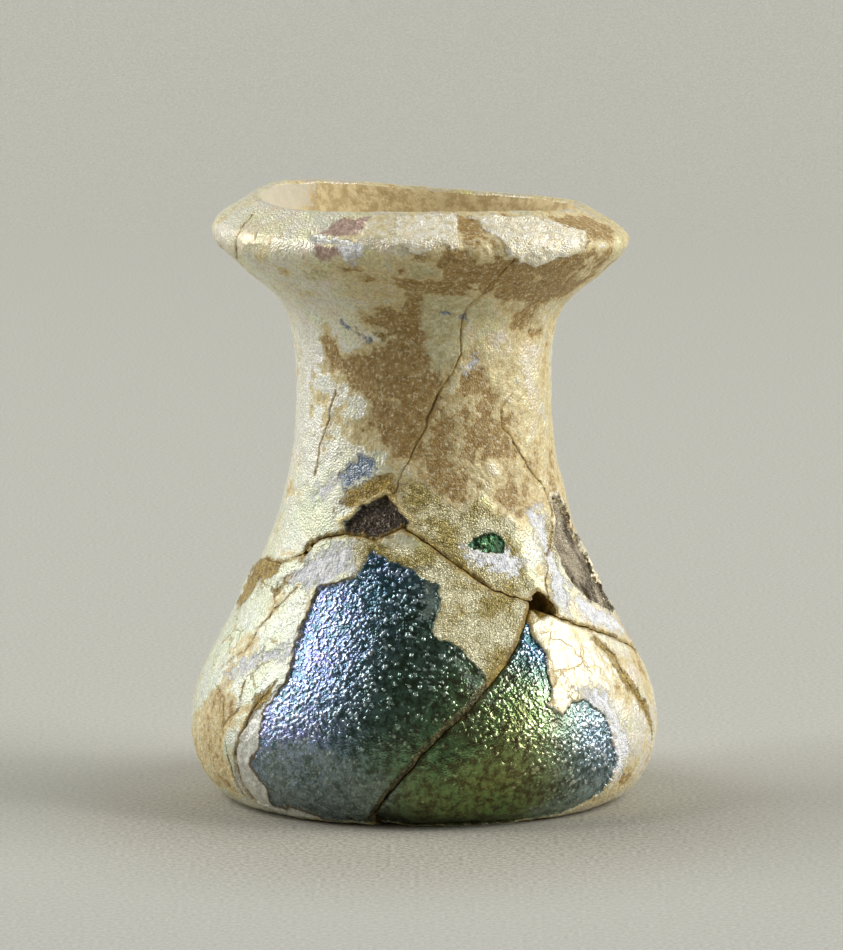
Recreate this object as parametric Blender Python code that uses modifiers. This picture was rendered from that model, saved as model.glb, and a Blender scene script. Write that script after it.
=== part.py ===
"""A small blown-glass jar, broken in the ground and joined again from its sherds.

It has a flaring rim folded in at the lip, a waisted neck and a bell-shaped body on a flat ring
round a shallow kick. The breaks, the chips lost along them and the uneven rim are kept.

Lengths are in metres and +Z is up. The origin is the middle of the resting ring, and the front
faces -Y. An azimuth is in degrees round the jar from the front, growing towards +X.
"""

import math

import bmesh
import bpy
from mathutils import Vector

# Outside of the jar
LIP_RISE = 0.00235
LIP_RADIUS = 0.01265
RIM_HEIGHT = 0.0432
RIM_RADIUS = 0.0158
NECK_HEIGHT = 0.0315
NECK_RADIUS = 0.0096
BELLY_HEIGHT = 0.0056
BELLY_RADIUS = 0.0177
FOOT_RADIUS = 0.0139

# Thickness of the glass, and the underside
NECK_WALL = 0.0014
BELLY_WALL = 0.0016
FLOOR_THICKNESS = 0.0022
LIP_THICKNESS = 0.0010
RING_WIDTH = 0.0038
KICK_RISE = 0.0008

# Roundings in the profile
RIM_ROUND = 0.0007
LIP_ROUND = 0.00035

# How far each curve's handles reach, as shares of the height between its ends
SHOULDER_REACH = (0.256, 0.560)
FLARE_REACH = 0.663
FLARE_END_SLOPE = (0.76, 0.48)
MOUTH_REACH = 0.50
MOUTH_END_SLOPE = (0.26, 0.22)

# How far the hand-made rim strays from a level circle
RIM_SINK = 0.00025
RIM_TILT = 0.00045
RIM_TWIST = 0.00028
RIM_RIPPLE = 0.00014
RIM_SHIFT = 0.0003

# Breaks and losses
BREAK_WIDTH = 0.0007
OPEN_BREAK_WIDTH = 0.0010
HAIR_CRACK_WIDTH = 0.0004
CHIP_DEPTH = 0.0005
GAP_DEPTH = 0.0008
CUTTER_PROUD = 0.0010

# Finish of the curves and of the turning
TURNING_STEPS = 60
OUTSIDE_CURVE_POINTS = 9
INSIDE_CURVE_POINTS = 6
KICK_STEPS = 4
ROUNDING_POINTS = 2
BREAK_STEP = 0.0020
WELD_DISTANCE = 0.000001
SMOOTH_ANGLE = math.radians(35)

# Routes over the outside, as (azimuth, share of the rim's height)
NECK_BREAK = [
    (-180, 0.405), (-160, 0.366), (-140, 0.398), (-120, 0.370), (-105, 0.359), (-89, 0.391),
    (-77, 0.424), (-60, 0.428), (-49, 0.454), (-44, 0.477), (-32, 0.493), (-19, 0.484),
    (-8, 0.507), (2, 0.479), (16, 0.428), (29, 0.389), (40, 0.375), (46, 0.345), (59, 0.319),
    (72, 0.294), (89, 0.255), (105, 0.289), (125, 0.343), (145, 0.324), (165, 0.380), (180, 0.405),
]
BODY_BREAK = [
    (38, 0.375), (30, 0.319), (24, 0.286), (16.5, 0.243), (7.5, 0.187), (0, 0.139), (-6, 0.086),
    (-11, 0.040), (-14, 0.010),
]
SIDE_BREAK = [(44, 0.375), (45, 0.442), (52, 0.473), (59, 0.504), (61.5, 0.536), (60, 0.565)]
NECK_CRACK = [
    (-14, 0.560), (-10, 0.588), (-5, 0.631), (0, 0.673), (6, 0.723), (14, 0.780), (17, 0.801),
    (16.5, 0.851), (16.5, 0.889), (21, 0.909), (25, 0.951),
]
SIDE_CRACK = [(60, 0.565), (49.5, 0.610), (36.5, 0.674), (38, 0.710), (43, 0.727)]
BACK_CRACK = [(150, 0.333), (156, 0.450), (148, 0.560), (152, 0.700), (144, 0.860), (147, 0.950)]
LEFT_BODY_BREAK = [
    (-118, 0.374), (-112, 0.300), (-122, 0.210), (-114, 0.120), (-119, 0.040), (-117, 0.010),
]
RIGHT_BODY_BREAK = [(112, 0.305), (120, 0.230), (111, 0.150), (118, 0.070), (115, 0.010)]

# Outlines of what is lost from the outside, as (azimuth, share of the rim's height)
NECK_CHIP = [
    (-33, 0.500), (-26, 0.540), (-16, 0.558), (-6, 0.517), (-9, 0.503), (-19, 0.488), (-30, 0.492),
]
SIDE_CHIP = [
    (64, 0.537), (63, 0.500), (61, 0.459), (67, 0.405), (73, 0.357), (82, 0.340), (84, 0.400),
    (77, 0.470), (71, 0.520),
]
SHERD_GAP = [(34, 0.380), (39, 0.392), (44, 0.384), (49, 0.362), (46, 0.352), (40, 0.364)]

# Look of the weathered glass, its colour linear
WEATHERED_CREAM = (0.52, 0.44, 0.31, 1.0)
WEATHERED_ROUGHNESS = 0.6


# The turned profile

def smooth(share):
    """A share eased at both ends."""
    share = min(max(share, 0.0), 1.0)
    return share * share * (3.0 - 2.0 * share)


def curve_between(start, start_handle, end_handle, end, count):
    """A number of points on a Bezier curve, its last one among them but not its first."""
    points = []
    for step in range(1, count + 1):
        t = step / count
        points.append(
            start * (1 - t) ** 3
            + start_handle * 3 * t * (1 - t) ** 2
            + end_handle * 3 * t * t * (1 - t)
            + end * t ** 3
        )
    return points


def quarter_ellipse(start, end, count):
    """A number of points on a quarter of an ellipse that leaves its start level, without its first one."""
    points = []
    for step in range(1, count + 1):
        turn = math.pi / 2 * step / count
        across = start.x + (end.x - start.x) * math.sin(turn)
        up = start.y + (end.y - start.y) * (1 - math.cos(turn))
        points.append(Vector((across, up)))
    return points


def rounded_corner(before, corner, after, cut):
    """A corner taken off by a curve that starts and ends at a distance of cut from it."""
    start = corner + (before - corner).normalized() * cut
    end = corner + (after - corner).normalized() * cut
    points = [start]
    for step in range(1, ROUNDING_POINTS + 1):
        t = step / (ROUNDING_POINTS + 1)
        points.append(start * (1 - t) ** 2 + corner * 2 * t * (1 - t) + end * t * t)
    return points + [end]


def shoulder(low, high, count):
    """The long curve from the belly up to the neck."""
    rise = high.y - low.y
    low_handle = low + Vector((0, rise * SHOULDER_REACH[0]))
    high_handle = high - Vector((0, rise * SHOULDER_REACH[1]))
    return curve_between(low, low_handle, high_handle, high, count)


def flare(low, high, reach, end_slope, count):
    """The curve from the neck out to the rim or the lip."""
    rise = high.y - low.y
    spread = high.x - low.x
    low_handle = low + Vector((0, rise * reach))
    high_handle = high - Vector((spread * end_slope[0], rise * end_slope[1]))
    return curve_between(low, low_handle, high_handle, high, count)


def lip_edge():
    """(radius, height) of the lip's sharp corner, a set rise above the rim's widest circle."""
    return Vector((LIP_RADIUS, RIM_HEIGHT + LIP_RISE))


def outer_profile():
    """(radius, height) up the outside, from the edge of the resting ring to just under the lip."""
    foot = Vector((FOOT_RADIUS, 0))
    belly = Vector((BELLY_RADIUS, BELLY_HEIGHT))
    neck = Vector((NECK_RADIUS, NECK_HEIGHT))
    rim = Vector((RIM_RADIUS, RIM_HEIGHT))
    lip = lip_edge()
    count = OUTSIDE_CURVE_POINTS
    points = [foot] + quarter_ellipse(foot, belly, count)
    points += shoulder(belly, neck, count + 2)
    points += flare(neck, rim, FLARE_REACH, FLARE_END_SLOPE, count)[:-1]
    points += rounded_corner(points[-1], rim, lip, RIM_ROUND)
    return points


def inner_profile():
    """(radius, height) up the inside, from the edge of the floor to just under the lip."""
    floor_edge = Vector((FOOT_RADIUS - BELLY_WALL, FLOOR_THICKNESS))
    belly = Vector((BELLY_RADIUS - BELLY_WALL, BELLY_HEIGHT))
    neck = Vector((NECK_RADIUS - NECK_WALL, NECK_HEIGHT))
    mouth = lip_edge() - Vector((LIP_THICKNESS / 2, LIP_THICKNESS))
    count = INSIDE_CURVE_POINTS
    points = [floor_edge] + quarter_ellipse(floor_edge, belly, count)
    points += shoulder(belly, neck, count + 2)
    points += flare(neck, mouth, MOUTH_REACH, MOUTH_END_SLOPE, count)
    return points


def whole_profile():
    """(radius, height) from the middle of the floor, up the inside, over the lip and down to the kick."""
    inside = inner_profile()
    outside = outer_profile()
    lip_corner = rounded_corner(inside[-1], lip_edge(), outside[-1], LIP_ROUND)
    ring_inner = Vector((FOOT_RADIUS - RING_WIDTH, 0))
    kick = [ring_inner] + [
        Vector((ring_inner.x * (1 - step / KICK_STEPS), KICK_RISE * smooth(step / KICK_STEPS)))
        for step in range(1, KICK_STEPS + 1)
    ]
    floor = [Vector((point.x, point.y + FLOOR_THICKNESS)) for point in kick[:0:-1]]
    return floor + inside + lip_corner + outside[::-1] + kick


def radius_at(height):
    """The outside's radius at a height, up to the rim's widest circle."""
    points = outer_profile()
    for low, high in zip(points, points[1:]):
        if low.y <= height <= high.y:
            return low.x + (high.x - low.x) * (height - low.y) / (high.y - low.y)
    return RIM_RADIUS


# The uneven rim

def as_blown(point):
    """A point of the true turned shape, moved to where the hand-made rim has it."""
    azimuth = math.atan2(point.x, -point.y)
    share = smooth((point.z - NECK_HEIGHT) / (RIM_HEIGHT - NECK_HEIGHT))
    stray = RIM_TWIST * math.sin(2 * azimuth) - RIM_SINK - RIM_TILT * math.sin(azimuth)
    stray += RIM_RIPPLE * math.cos(3 * azimuth)
    return point + Vector((-RIM_SHIFT, 0, stray)) * share


def on_outside(azimuth, height_share, proud=0.0):
    """A point on the outside, or proud of it."""
    height = height_share * RIM_HEIGHT
    turn = math.radians(azimuth)
    radius = radius_at(height) + proud
    return as_blown(Vector((radius * math.sin(turn), -radius * math.cos(turn), height)))


# Blender objects

def new_object(name, data, collection):
    made = bpy.data.objects.new(name, data)
    collection.objects.link(made)
    return made


def evaluated_mesh(source):
    """The mesh of an object with its modifiers or its bevel, welded."""
    graph = bpy.context.evaluated_depsgraph_get()
    mesh = bpy.data.meshes.new_from_object(source.evaluated_get(graph))
    shape = bmesh.new()
    shape.from_mesh(mesh)
    bmesh.ops.remove_doubles(shape, verts=shape.verts, dist=WELD_DISTANCE)
    bmesh.ops.recalc_face_normals(shape, faces=shape.faces)
    shape.to_mesh(mesh)
    shape.free()
    return mesh


def hide_as_cutter(cutter):
    cutter.hide_render = True
    cutter.display_type = "WIRE"


def turned_jar(collection):
    """The whole vessel as one turned solid, then settled into its hand-made shape."""
    outline = bpy.data.meshes.new("profile")
    points = [(point.x, 0, point.y) for point in whole_profile()]
    outline.from_pydata(points, [(i, i + 1) for i in range(len(points) - 1)], [])
    turning = new_object("turning", outline, collection)
    screw = turning.modifiers.new("turn", "SCREW")
    screw.steps = screw.render_steps = TURNING_STEPS
    screw.use_merge_vertices = True
    screw.merge_threshold = WELD_DISTANCE
    mesh = evaluated_mesh(turning)
    bpy.data.objects.remove(turning)
    for vertex in mesh.vertices:
        vertex.co = as_blown(vertex.co)
    return new_object("glass_jar", mesh, collection)


def route_points(route):
    """A route's points on the outside, close enough together to follow its curve."""
    points = [on_outside(*route[0])]
    for (azimuth, share), (next_azimuth, next_share) in zip(route, route[1:]):
        leg = (on_outside(next_azimuth, next_share) - on_outside(azimuth, share)).length
        count = max(1, math.ceil(leg / BREAK_STEP))
        for step in range(1, count + 1):
            t = step / count
            between = (azimuth + (next_azimuth - azimuth) * t, share + (next_share - share) * t)
            points.append(on_outside(*between))
    return points


def break_cutter(name, route, width, collection, closed=False):
    """A diamond-section tube along a break, which leaves a V groove half its width deep."""
    points = route_points(route)
    if closed:
        points.pop()
    curve = bpy.data.curves.new(name, "CURVE")
    curve.dimensions = "3D"
    curve.bevel_depth = width / 2
    curve.bevel_resolution = 0
    curve.use_fill_caps = True
    spline = curve.splines.new("POLY")
    spline.points.add(len(points) - 1)
    for spline_point, point in zip(spline.points, points):
        spline_point.co = (*point, 1)
    spline.use_cyclic_u = closed
    tube = new_object(name + "_line", curve, collection)
    cutter = new_object(name, evaluated_mesh(tube), collection)
    bpy.data.objects.remove(tube)
    hide_as_cutter(cutter)
    return cutter


def chip_cutter(name, outline, depth, collection):
    """A block over an outline on the outside, down to a depth below it."""
    shape = bmesh.new()
    low = [shape.verts.new(on_outside(azimuth, share, -depth)) for azimuth, share in outline]
    high = [on_outside(azimuth, share, CUTTER_PROUD) for azimuth, share in outline]
    floor = shape.faces.new(low)
    raised = bmesh.ops.extrude_face_region(shape, geom=[floor])
    corners = [v for v in raised["geom"] if isinstance(v, bmesh.types.BMVert)]
    for corner in corners:
        nearest = min(range(len(low)), key=lambda i: (low[i].co - corner.co).length)
        corner.co = high[nearest]
    bmesh.ops.triangulate(shape, faces=shape.faces)
    bmesh.ops.recalc_face_normals(shape, faces=shape.faces)
    mesh = bpy.data.meshes.new(name)
    shape.to_mesh(mesh)
    shape.free()
    cutter = new_object(name, mesh, collection)
    hide_as_cutter(cutter)
    return cutter


def cut(target, cutter):
    boolean = target.modifiers.new("cut_" + cutter.name, "BOOLEAN")
    boolean.operation = "DIFFERENCE"
    boolean.solver = "EXACT"
    boolean.object = cutter


def weathered_glass():
    material = bpy.data.materials.new("weathered_glass")
    material.use_nodes = True
    shader = material.node_tree.nodes["Principled BSDF"]
    shader.inputs["Base Color"].default_value = WEATHERED_CREAM
    shader.inputs["Roughness"].default_value = WEATHERED_ROUGHNESS
    shader.inputs["Metallic"].default_value = 0.0
    return material


def build():
    for old in list(bpy.data.objects):
        bpy.data.objects.remove(old)
    jar_parts = bpy.data.collections.new("glass jar")
    cutters = bpy.data.collections.new("cutters")
    bpy.context.scene.collection.children.link(jar_parts)
    bpy.context.scene.collection.children.link(cutters)

    jar = turned_jar(jar_parts)
    cut(jar, break_cutter("neck_break", NECK_BREAK, BREAK_WIDTH, cutters, closed=True))
    breaks = {
        "body_break": (BODY_BREAK, OPEN_BREAK_WIDTH),
        "side_break": (SIDE_BREAK, BREAK_WIDTH),
        "left_body_break": (LEFT_BODY_BREAK, BREAK_WIDTH),
        "right_body_break": (RIGHT_BODY_BREAK, BREAK_WIDTH),
        "neck_crack": (NECK_CRACK, HAIR_CRACK_WIDTH),
        "side_crack": (SIDE_CRACK, HAIR_CRACK_WIDTH),
        "back_crack": (BACK_CRACK, HAIR_CRACK_WIDTH),
    }
    for name, (route, width) in breaks.items():
        cut(jar, break_cutter(name, route, width, cutters))
    chips = {
        "neck_chip": (NECK_CHIP, CHIP_DEPTH),
        "side_chip": (SIDE_CHIP, CHIP_DEPTH),
        "sherd_gap": (SHERD_GAP, GAP_DEPTH),
    }
    for name, (outline, depth) in chips.items():
        cut(jar, chip_cutter(name, outline, depth, cutters))

    jar.data.materials.append(weathered_glass())
    jar.data.shade_smooth()
    jar.data.set_sharp_from_angle(angle=SMOOTH_ANGLE)


build()
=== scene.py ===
"""A small blown-glass jar from the ground, broken and joined again, under a flaking rainbow crust.

Metres, +Z up, with the jar's front facing -Y. An azimuth is in degrees round the jar from its front,
growing towards +X. The form and its relief are worked out in millimetres.
"""

import itertools
import math

import bmesh
import bpy
import numpy as np
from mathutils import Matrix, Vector


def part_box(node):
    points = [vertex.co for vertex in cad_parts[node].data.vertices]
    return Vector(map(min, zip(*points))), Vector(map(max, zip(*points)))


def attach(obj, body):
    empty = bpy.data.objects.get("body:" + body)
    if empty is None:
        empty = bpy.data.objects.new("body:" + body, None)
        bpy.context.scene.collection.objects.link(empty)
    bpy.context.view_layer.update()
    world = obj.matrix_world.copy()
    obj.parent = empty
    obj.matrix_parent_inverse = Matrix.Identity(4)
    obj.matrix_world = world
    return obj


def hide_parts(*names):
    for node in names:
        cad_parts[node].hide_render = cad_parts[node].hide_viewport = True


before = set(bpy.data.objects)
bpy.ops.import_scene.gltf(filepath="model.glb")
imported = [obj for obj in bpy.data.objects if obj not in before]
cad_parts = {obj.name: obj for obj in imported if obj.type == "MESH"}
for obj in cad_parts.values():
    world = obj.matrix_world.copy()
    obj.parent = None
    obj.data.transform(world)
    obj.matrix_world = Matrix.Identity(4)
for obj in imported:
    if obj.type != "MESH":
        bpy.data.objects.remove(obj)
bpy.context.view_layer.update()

# Camera
# The jar is seen from half a metre away through a long lens, from a little above its rim.

CAMERA_DISTANCE = 0.5
CAMERA_RISE = math.radians(7.5)
CAMERA_AIM = Vector((-0.0002, 0.0, 0.0244))
LENS_LENGTH = 250.0
NEAREST_SEEN = 0.05

camera_data = bpy.data.cameras.new("camera")
camera_data.lens = LENS_LENGTH
camera_data.clip_start = NEAREST_SEEN
camera = bpy.data.objects.new("camera", camera_data)
bpy.context.scene.collection.objects.link(camera)
camera_way = Vector((0, -math.cos(CAMERA_RISE), math.sin(CAMERA_RISE)))
camera.location = CAMERA_AIM + camera_way * CAMERA_DISTANCE
camera.rotation_euler = camera_way.to_track_quat("Z", "Y").to_euler()
bpy.context.scene.camera = camera

# The blown form
# The glass was gathered on a pipe, blown into a bell, pushed in at the base to stand, and its rim
# was flared and folded in. Its outline is followed from the middle of the base up to the lip, and
# the length along it is one of the two coordinates that everything on the surface is placed by.

MM = 0.001
jar_low, jar_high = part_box("glass_jar")
BELLY_RADIUS = (jar_high.x - jar_low.x) / 2 / MM
BELLY_HEIGHT = 5.6
FOOT_RADIUS = 13.9
RING_WIDTH = 3.8
KICK_RISE = 0.8
FLOOR_THICKNESS = 2.2
NECK_RADIUS = 9.6
NECK_HEIGHT = 31.5
RIM_RADIUS = 16.4
RIM_HEIGHT = 43.2
RIM_ROUND = 1.7
LIP_RADIUS = 12.65
LIP_HEIGHT = 45.55
LIP_THICKNESS = 0.8
LIP_DROP = 0.15
LIP_DOME = 0.2
BELLY_WALL = 1.6
NECK_WALL = 1.4
# How far the curves' handles reach, as shares of the rise or the spread between their ends
SHOULDER_HANDLES = (0.256, 0.56)
OUTER_FLARE = (0.663, 0.76, 0.48)
INNER_FLARE = (0.5, 0.26, 0.22)
FOLD_HANDLES = 0.62
FOLD_STRIDE = 6
CURVE_STEPS = 60
SLOPE_STEP = 0.15
# How the hand-made rim strays: sideways, down, down at the right, into a saddle and in three waves
RIM_SHIFT = -0.3
RIM_SINK = 0.25
RIM_LEAN = 0.45
RIM_SADDLE = 0.28
RIM_WAVER = 0.14


def bezier(start, start_handle, end_handle, end):
    share = np.linspace(0, 1, CURVE_STEPS)[1:, None]
    left = 1 - share
    curve = np.array(start) * left ** 3 + np.array(end) * share ** 3
    curve = curve + np.array(start_handle) * 3 * share * left ** 2
    return curve + np.array(end_handle) * 3 * share * share * left


def quarter_ellipse(start, end):
    turn = np.linspace(0, math.pi / 2, CURVE_STEPS)[1:]
    across = start[0] + (end[0] - start[0]) * np.sin(turn)
    return np.stack([across, start[1] + (end[1] - start[1]) * (1 - np.cos(turn))], axis=1)


def shoulder(low, high):
    rise = high[1] - low[1]
    up, down = SHOULDER_HANDLES
    return bezier(low, (low[0], low[1] + rise * up), (high[0], high[1] - rise * down), high)


def flare(low, high, handles):
    rise = high[1] - low[1]
    spread = high[0] - low[0]
    up, inward, down = handles
    end_handle = (high[0] - spread * inward, high[1] - rise * down)
    return bezier(low, (low[0], low[1] + rise * up), end_handle, high)


def base(edge, floor_height):
    """The shallow kick, from the middle out to the flat resting ring."""
    share = np.linspace(0, 1, CURVE_STEPS)
    ring_inner = FOOT_RADIUS - RING_WIDTH
    softened = share * share * (3 - 2 * share)
    kick = np.stack([ring_inner * share, floor_height + KICK_RISE * (1 - softened)], axis=1)
    return np.vstack([kick, [(edge, floor_height)]])


def lengths(path):
    steps = np.hypot(*np.diff(path, axis=0).T)
    return np.concatenate([[0], np.cumsum(steps)])


def outside_path():
    foot = (FOOT_RADIUS, 0)
    belly = (BELLY_RADIUS, BELLY_HEIGHT)
    neck = (NECK_RADIUS, NECK_HEIGHT)
    rim = np.array((RIM_RADIUS, RIM_HEIGHT))
    lip = np.array((LIP_RADIUS, LIP_HEIGHT))
    flaring = flare(neck, rim, OUTER_FLARE)
    slope = (lip - rim) / np.hypot(*(lip - rim))
    before = flaring[np.hypot(*(flaring - rim).T) > RIM_ROUND]
    above = rim + slope * RIM_ROUND
    handles = [end + FOLD_HANDLES * (rim - end) for end in (before[-1], above)]
    fold = bezier(before[-1], *handles, above)[::FOLD_STRIDE]
    parts = [base(FOOT_RADIUS, 0), quarter_ellipse(foot, belly), shoulder(belly, neck), before, fold, [lip]]
    return np.vstack(parts)


def inside_path():
    floor_edge = (FOOT_RADIUS - BELLY_WALL, FLOOR_THICKNESS)
    belly = (BELLY_RADIUS - BELLY_WALL, BELLY_HEIGHT)
    neck = (NECK_RADIUS - NECK_WALL, NECK_HEIGHT)
    lip = (LIP_RADIUS - LIP_THICKNESS, LIP_HEIGHT - LIP_DROP)
    parts = [base(floor_edge[0], FLOOR_THICKNESS), quarter_ellipse(floor_edge, belly)]
    parts += [shoulder(belly, neck), flare(neck, lip, INNER_FLARE)]
    return np.vstack(parts)


def place_of(path, length, radius, height):
    """The length along a path at its point nearest to a radius and a height."""
    return length[np.argmin(np.hypot(path[:, 0] - radius, path[:, 1] - height))]


outside = outside_path()
outside_length = lengths(outside)
inside = inside_path()
inside_length = lengths(inside)
foot_along = place_of(outside, outside_length, FOOT_RADIUS, 0)
rim_along = place_of(outside, outside_length, RIM_RADIUS, RIM_HEIGHT)
lip_along = outside_length[-1]
matching_outside = [
    0,
    foot_along,
    place_of(outside, outside_length, BELLY_RADIUS, BELLY_HEIGHT),
    place_of(outside, outside_length, NECK_RADIUS, NECK_HEIGHT),
    lip_along,
]
matching_inside = [
    0,
    place_of(inside, inside_length, FOOT_RADIUS - BELLY_WALL, FLOOR_THICKNESS),
    place_of(inside, inside_length, BELLY_RADIUS - BELLY_WALL, BELLY_HEIGHT),
    place_of(inside, inside_length, NECK_RADIUS - NECK_WALL, NECK_HEIGHT),
    inside_length[-1],
]


def along_at(height):
    """The length along the outside at a height, from the foot up to the lip."""
    climbing = outside_length >= foot_along
    return np.interp(height, outside[climbing, 1], outside_length[climbing])


def point_at(path, length, along):
    """Radius and height at a length along a path."""
    return [np.interp(along, length, path[:, i]) for i in (0, 1)]


def section(along, depth):
    """Radius, height and the slope's normal in the section, at a depth from 0 outside to 1 inside."""
    outer = point_at(outside, outside_length, along)
    inner = point_at(inside, inside_length, np.interp(along, matching_outside, matching_inside))
    radius, height = (near + (far - near) * depth for near, far in zip(outer, inner))
    ahead = point_at(outside, outside_length, along + SLOPE_STEP)
    behind = point_at(outside, outside_length, along - SLOPE_STEP)
    run, rise = ahead[0] - behind[0], ahead[1] - behind[1]
    size = np.hypot(run, rise)
    return radius, height, rise / size, -run / size


def blown_stray(azimuth, height):
    """How far the hand-made rim strays sideways and up from the turned form, in mm."""
    turn = np.radians(azimuth)
    share = np.clip((height - NECK_HEIGHT) / (RIM_HEIGHT - NECK_HEIGHT), 0, 1)
    share = share * share * (3 - 2 * share)
    up = RIM_SADDLE * np.sin(2 * turn) - RIM_SINK - RIM_LEAN * np.sin(turn) + RIM_WAVER * np.cos(3 * turn)
    return RIM_SHIFT * share, up * share


def turned_out(azimuth, radius, height):
    """Points in mm at their azimuths."""
    turn = np.radians(azimuth)
    return np.stack([radius * np.sin(turn), -radius * np.cos(turn), height], axis=1)


# The breaks
# The jar was crushed in the ground. One break runs right round the shoulder, and two run down the
# body from it and meet under the foot. It was joined again, with a small hole left where two breaks
# meet. A route is (azimuth, height in mm), but under the foot (azimuth, length along in mm).

NECK_BREAK = [
    (-180, 17.2), (-171, 16.9), (-162, 15.9), (-153, 15.9), (-144, 16.8), (-136, 17.1), (-127, 16.3),
    (-117, 15.9), (-105, 15.5), (-97, 15.9), (-89, 16.9), (-77, 18.3),
    (-60, 18.5), (-49, 19.6), (-44, 20.6), (-32, 21.3), (-19, 20.9), (-8, 21.9), (2, 20.7), (16, 18.5),
    (29, 16.8), (40, 16.2), (46, 14.9), (59, 13.8), (72, 12.7), (89, 11.0), (97, 11.3), (105, 12.5),
    (113, 14.1), (123, 14.9), (134, 14.6), (143, 14.1), (152, 14.7), (161, 16.1), (170, 16.6), (180, 17.2),
]
FRONT_BREAK = [
    (38, 16.2), (34, 15.1), (30, 13.8), (24, 12.35), (16.5, 10.5), (7.5, 8.1), (0, 6.0), (-6, 3.7),
    (-11, 1.7), (-14.5, 0.4),
]
RIGHT_BREAK = [
    (112, 13.4), (114, 12.1), (118.5, 10.9), (119.5, 9.4), (115, 7.8), (111.5, 6.4), (113, 5.0),
    (117.5, 3.5), (118, 2.0), (115, 0.4),
]
UNDER_BREAK = [(-10, 12.0), (5, 8.5), (45, 7.0), (80, 8.0), (108, 11.5)]
HOLES = [
    [
        (37.5, 15.9), (38.5, 16.7), (41, 17.0), (44, 16.5), (46.5, 15.6), (45.5, 15.2), (42, 15.5),
        (39.5, 15.3),
    ],
    [(-50.5, 19.3), (-49, 20.0), (-47, 20.4), (-46.5, 20.1), (-48, 19.6), (-49.5, 19.0)],
]
ABOVE_NECK_BREAK = 45.0
BREAK_STEP = 0.4
BREAK_RAGGEDNESS = 0.10
JAG_SIZE = 1.6
SMALLEST_RADIUS = 0.3
FAR_OFF = 1e9
NEXT_TO_NOTHING = 1e-9
# Large odd numbers that scatter the random numbers
SCATTER_SEED = 2654435761
SCATTER_CELL = (73856093, 19349663, 83492791)
SCATTER_AGAIN = 0x9E3779B1
SCATTER_SHIFT = 15
LOW_BITS = 0xFFFFFFFF
KEPT_BITS = 0xFFFFFF
# The noise's gain, and how much finer and fainter each layer of rough noise is than the one before
NOISE_GAIN = 1.4
FINER = 2.1
FAINTER = 0.55
ROUGH_NOISE_REACH = 1.6


def hashed(cells, seed):
    """A random number from 0 to 1 for each row of whole numbers, always the same."""
    mixed = np.full(len(cells), (seed * SCATTER_SEED) & LOW_BITS, dtype=np.uint64)
    for column, prime in zip(cells.T, SCATTER_CELL):
        mixed ^= (column.astype(np.int64) * prime).astype(np.uint64) & np.uint64(LOW_BITS)
        mixed = (mixed * np.uint64(SCATTER_AGAIN)) & np.uint64(LOW_BITS)
        mixed ^= mixed >> np.uint64(SCATTER_SHIFT)
    return (mixed & np.uint64(KEPT_BITS)).astype(float) / KEPT_BITS


def noise(points, size, seed):
    """Smooth random values from about -1 to 1, with lumps about size mm across."""
    cell = points / size
    corner = np.floor(cell).astype(np.int64)
    share = cell - corner
    smooth = share ** 3 * (share * (share * 6 - 15) + 10)
    total = np.zeros(len(points))
    for step in itertools.product((0, 1), repeat=3):
        weight = np.prod(np.where(step, smooth, 1 - smooth), axis=1)
        total += weight * (hashed(corner + np.array(step), seed) * 2 - 1)
    return total * NOISE_GAIN


def rough_noise(points, size, seed, layers=3):
    """Noise with finer and fainter noise on top."""
    total = np.zeros(len(points))
    for layer in range(layers):
        total += noise(points, size / FINER ** layer, seed + layer) * FAINTER ** layer
    return total / ROUGH_NOISE_REACH


def on_outside(route):
    """A route's heights in mm turned to lengths along the outside."""
    return np.array([(azimuth, float(along_at(height))) for azimuth, height in route])


def ragged_route(route, seed, raggedness=BREAK_RAGGEDNESS):
    """A break's route with the small jags that broken glass has, as (azimuth, along)."""
    points = [np.array(route[0], float)]
    for low, high in zip(route, route[1:]):
        radius = np.interp((low[1] + high[1]) / 2, outside_length, outside[:, 0])
        leg = math.hypot(math.radians(high[0] - low[0]) * radius, high[1] - low[1])
        count = max(1, round(leg / BREAK_STEP))
        way = np.array(high) - np.array(low)
        points += [np.array(low) + way * step / count for step in range(1, count + 1)]
    points = np.array(points)
    radius = np.interp(points[:, 1], outside_length, outside[:, 0])
    unrolled = np.stack([np.radians(points[:, 0]) * radius, points[:, 1], np.zeros(len(points))], axis=1)
    stray = raggedness * rough_noise(unrolled, JAG_SIZE, seed)
    stray_up = raggedness * rough_noise(unrolled, JAG_SIZE, seed + 9)
    points[1:-1, 0] += np.degrees(stray / radius)[1:-1]
    points[1:-1, 1] += stray_up[1:-1]
    return points


neck_break = ragged_route(on_outside(NECK_BREAK), seed=11)
front_break = ragged_route(on_outside(FRONT_BREAK), seed=21)
right_break = ragged_route(on_outside(RIGHT_BREAK), seed=31)
under_break = ragged_route(UNDER_BREAK, seed=51)
over_the_top = [(route[0][0], ABOVE_NECK_BREAK) for route in (RIGHT_BREAK, FRONT_BREAK)]
front_right_outline = np.vstack([front_break, under_break, right_break[::-1], over_the_top])
holes = [on_outside(outline) for outline in HOLES]


def about(points, azimuth):
    """Azimuths turned to within half a turn of the middle of some points."""
    middle = (points[:, 0].min() + points[:, 0].max()) / 2
    return (azimuth - middle + 180) % 360 - 180 + middle


def round_scale(along):
    """Millimetres on the surface for each degree round it."""
    radius = np.maximum(np.interp(along, outside_length, outside[:, 0]), SMALLEST_RADIUS)
    return radius * math.pi / 180


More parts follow.
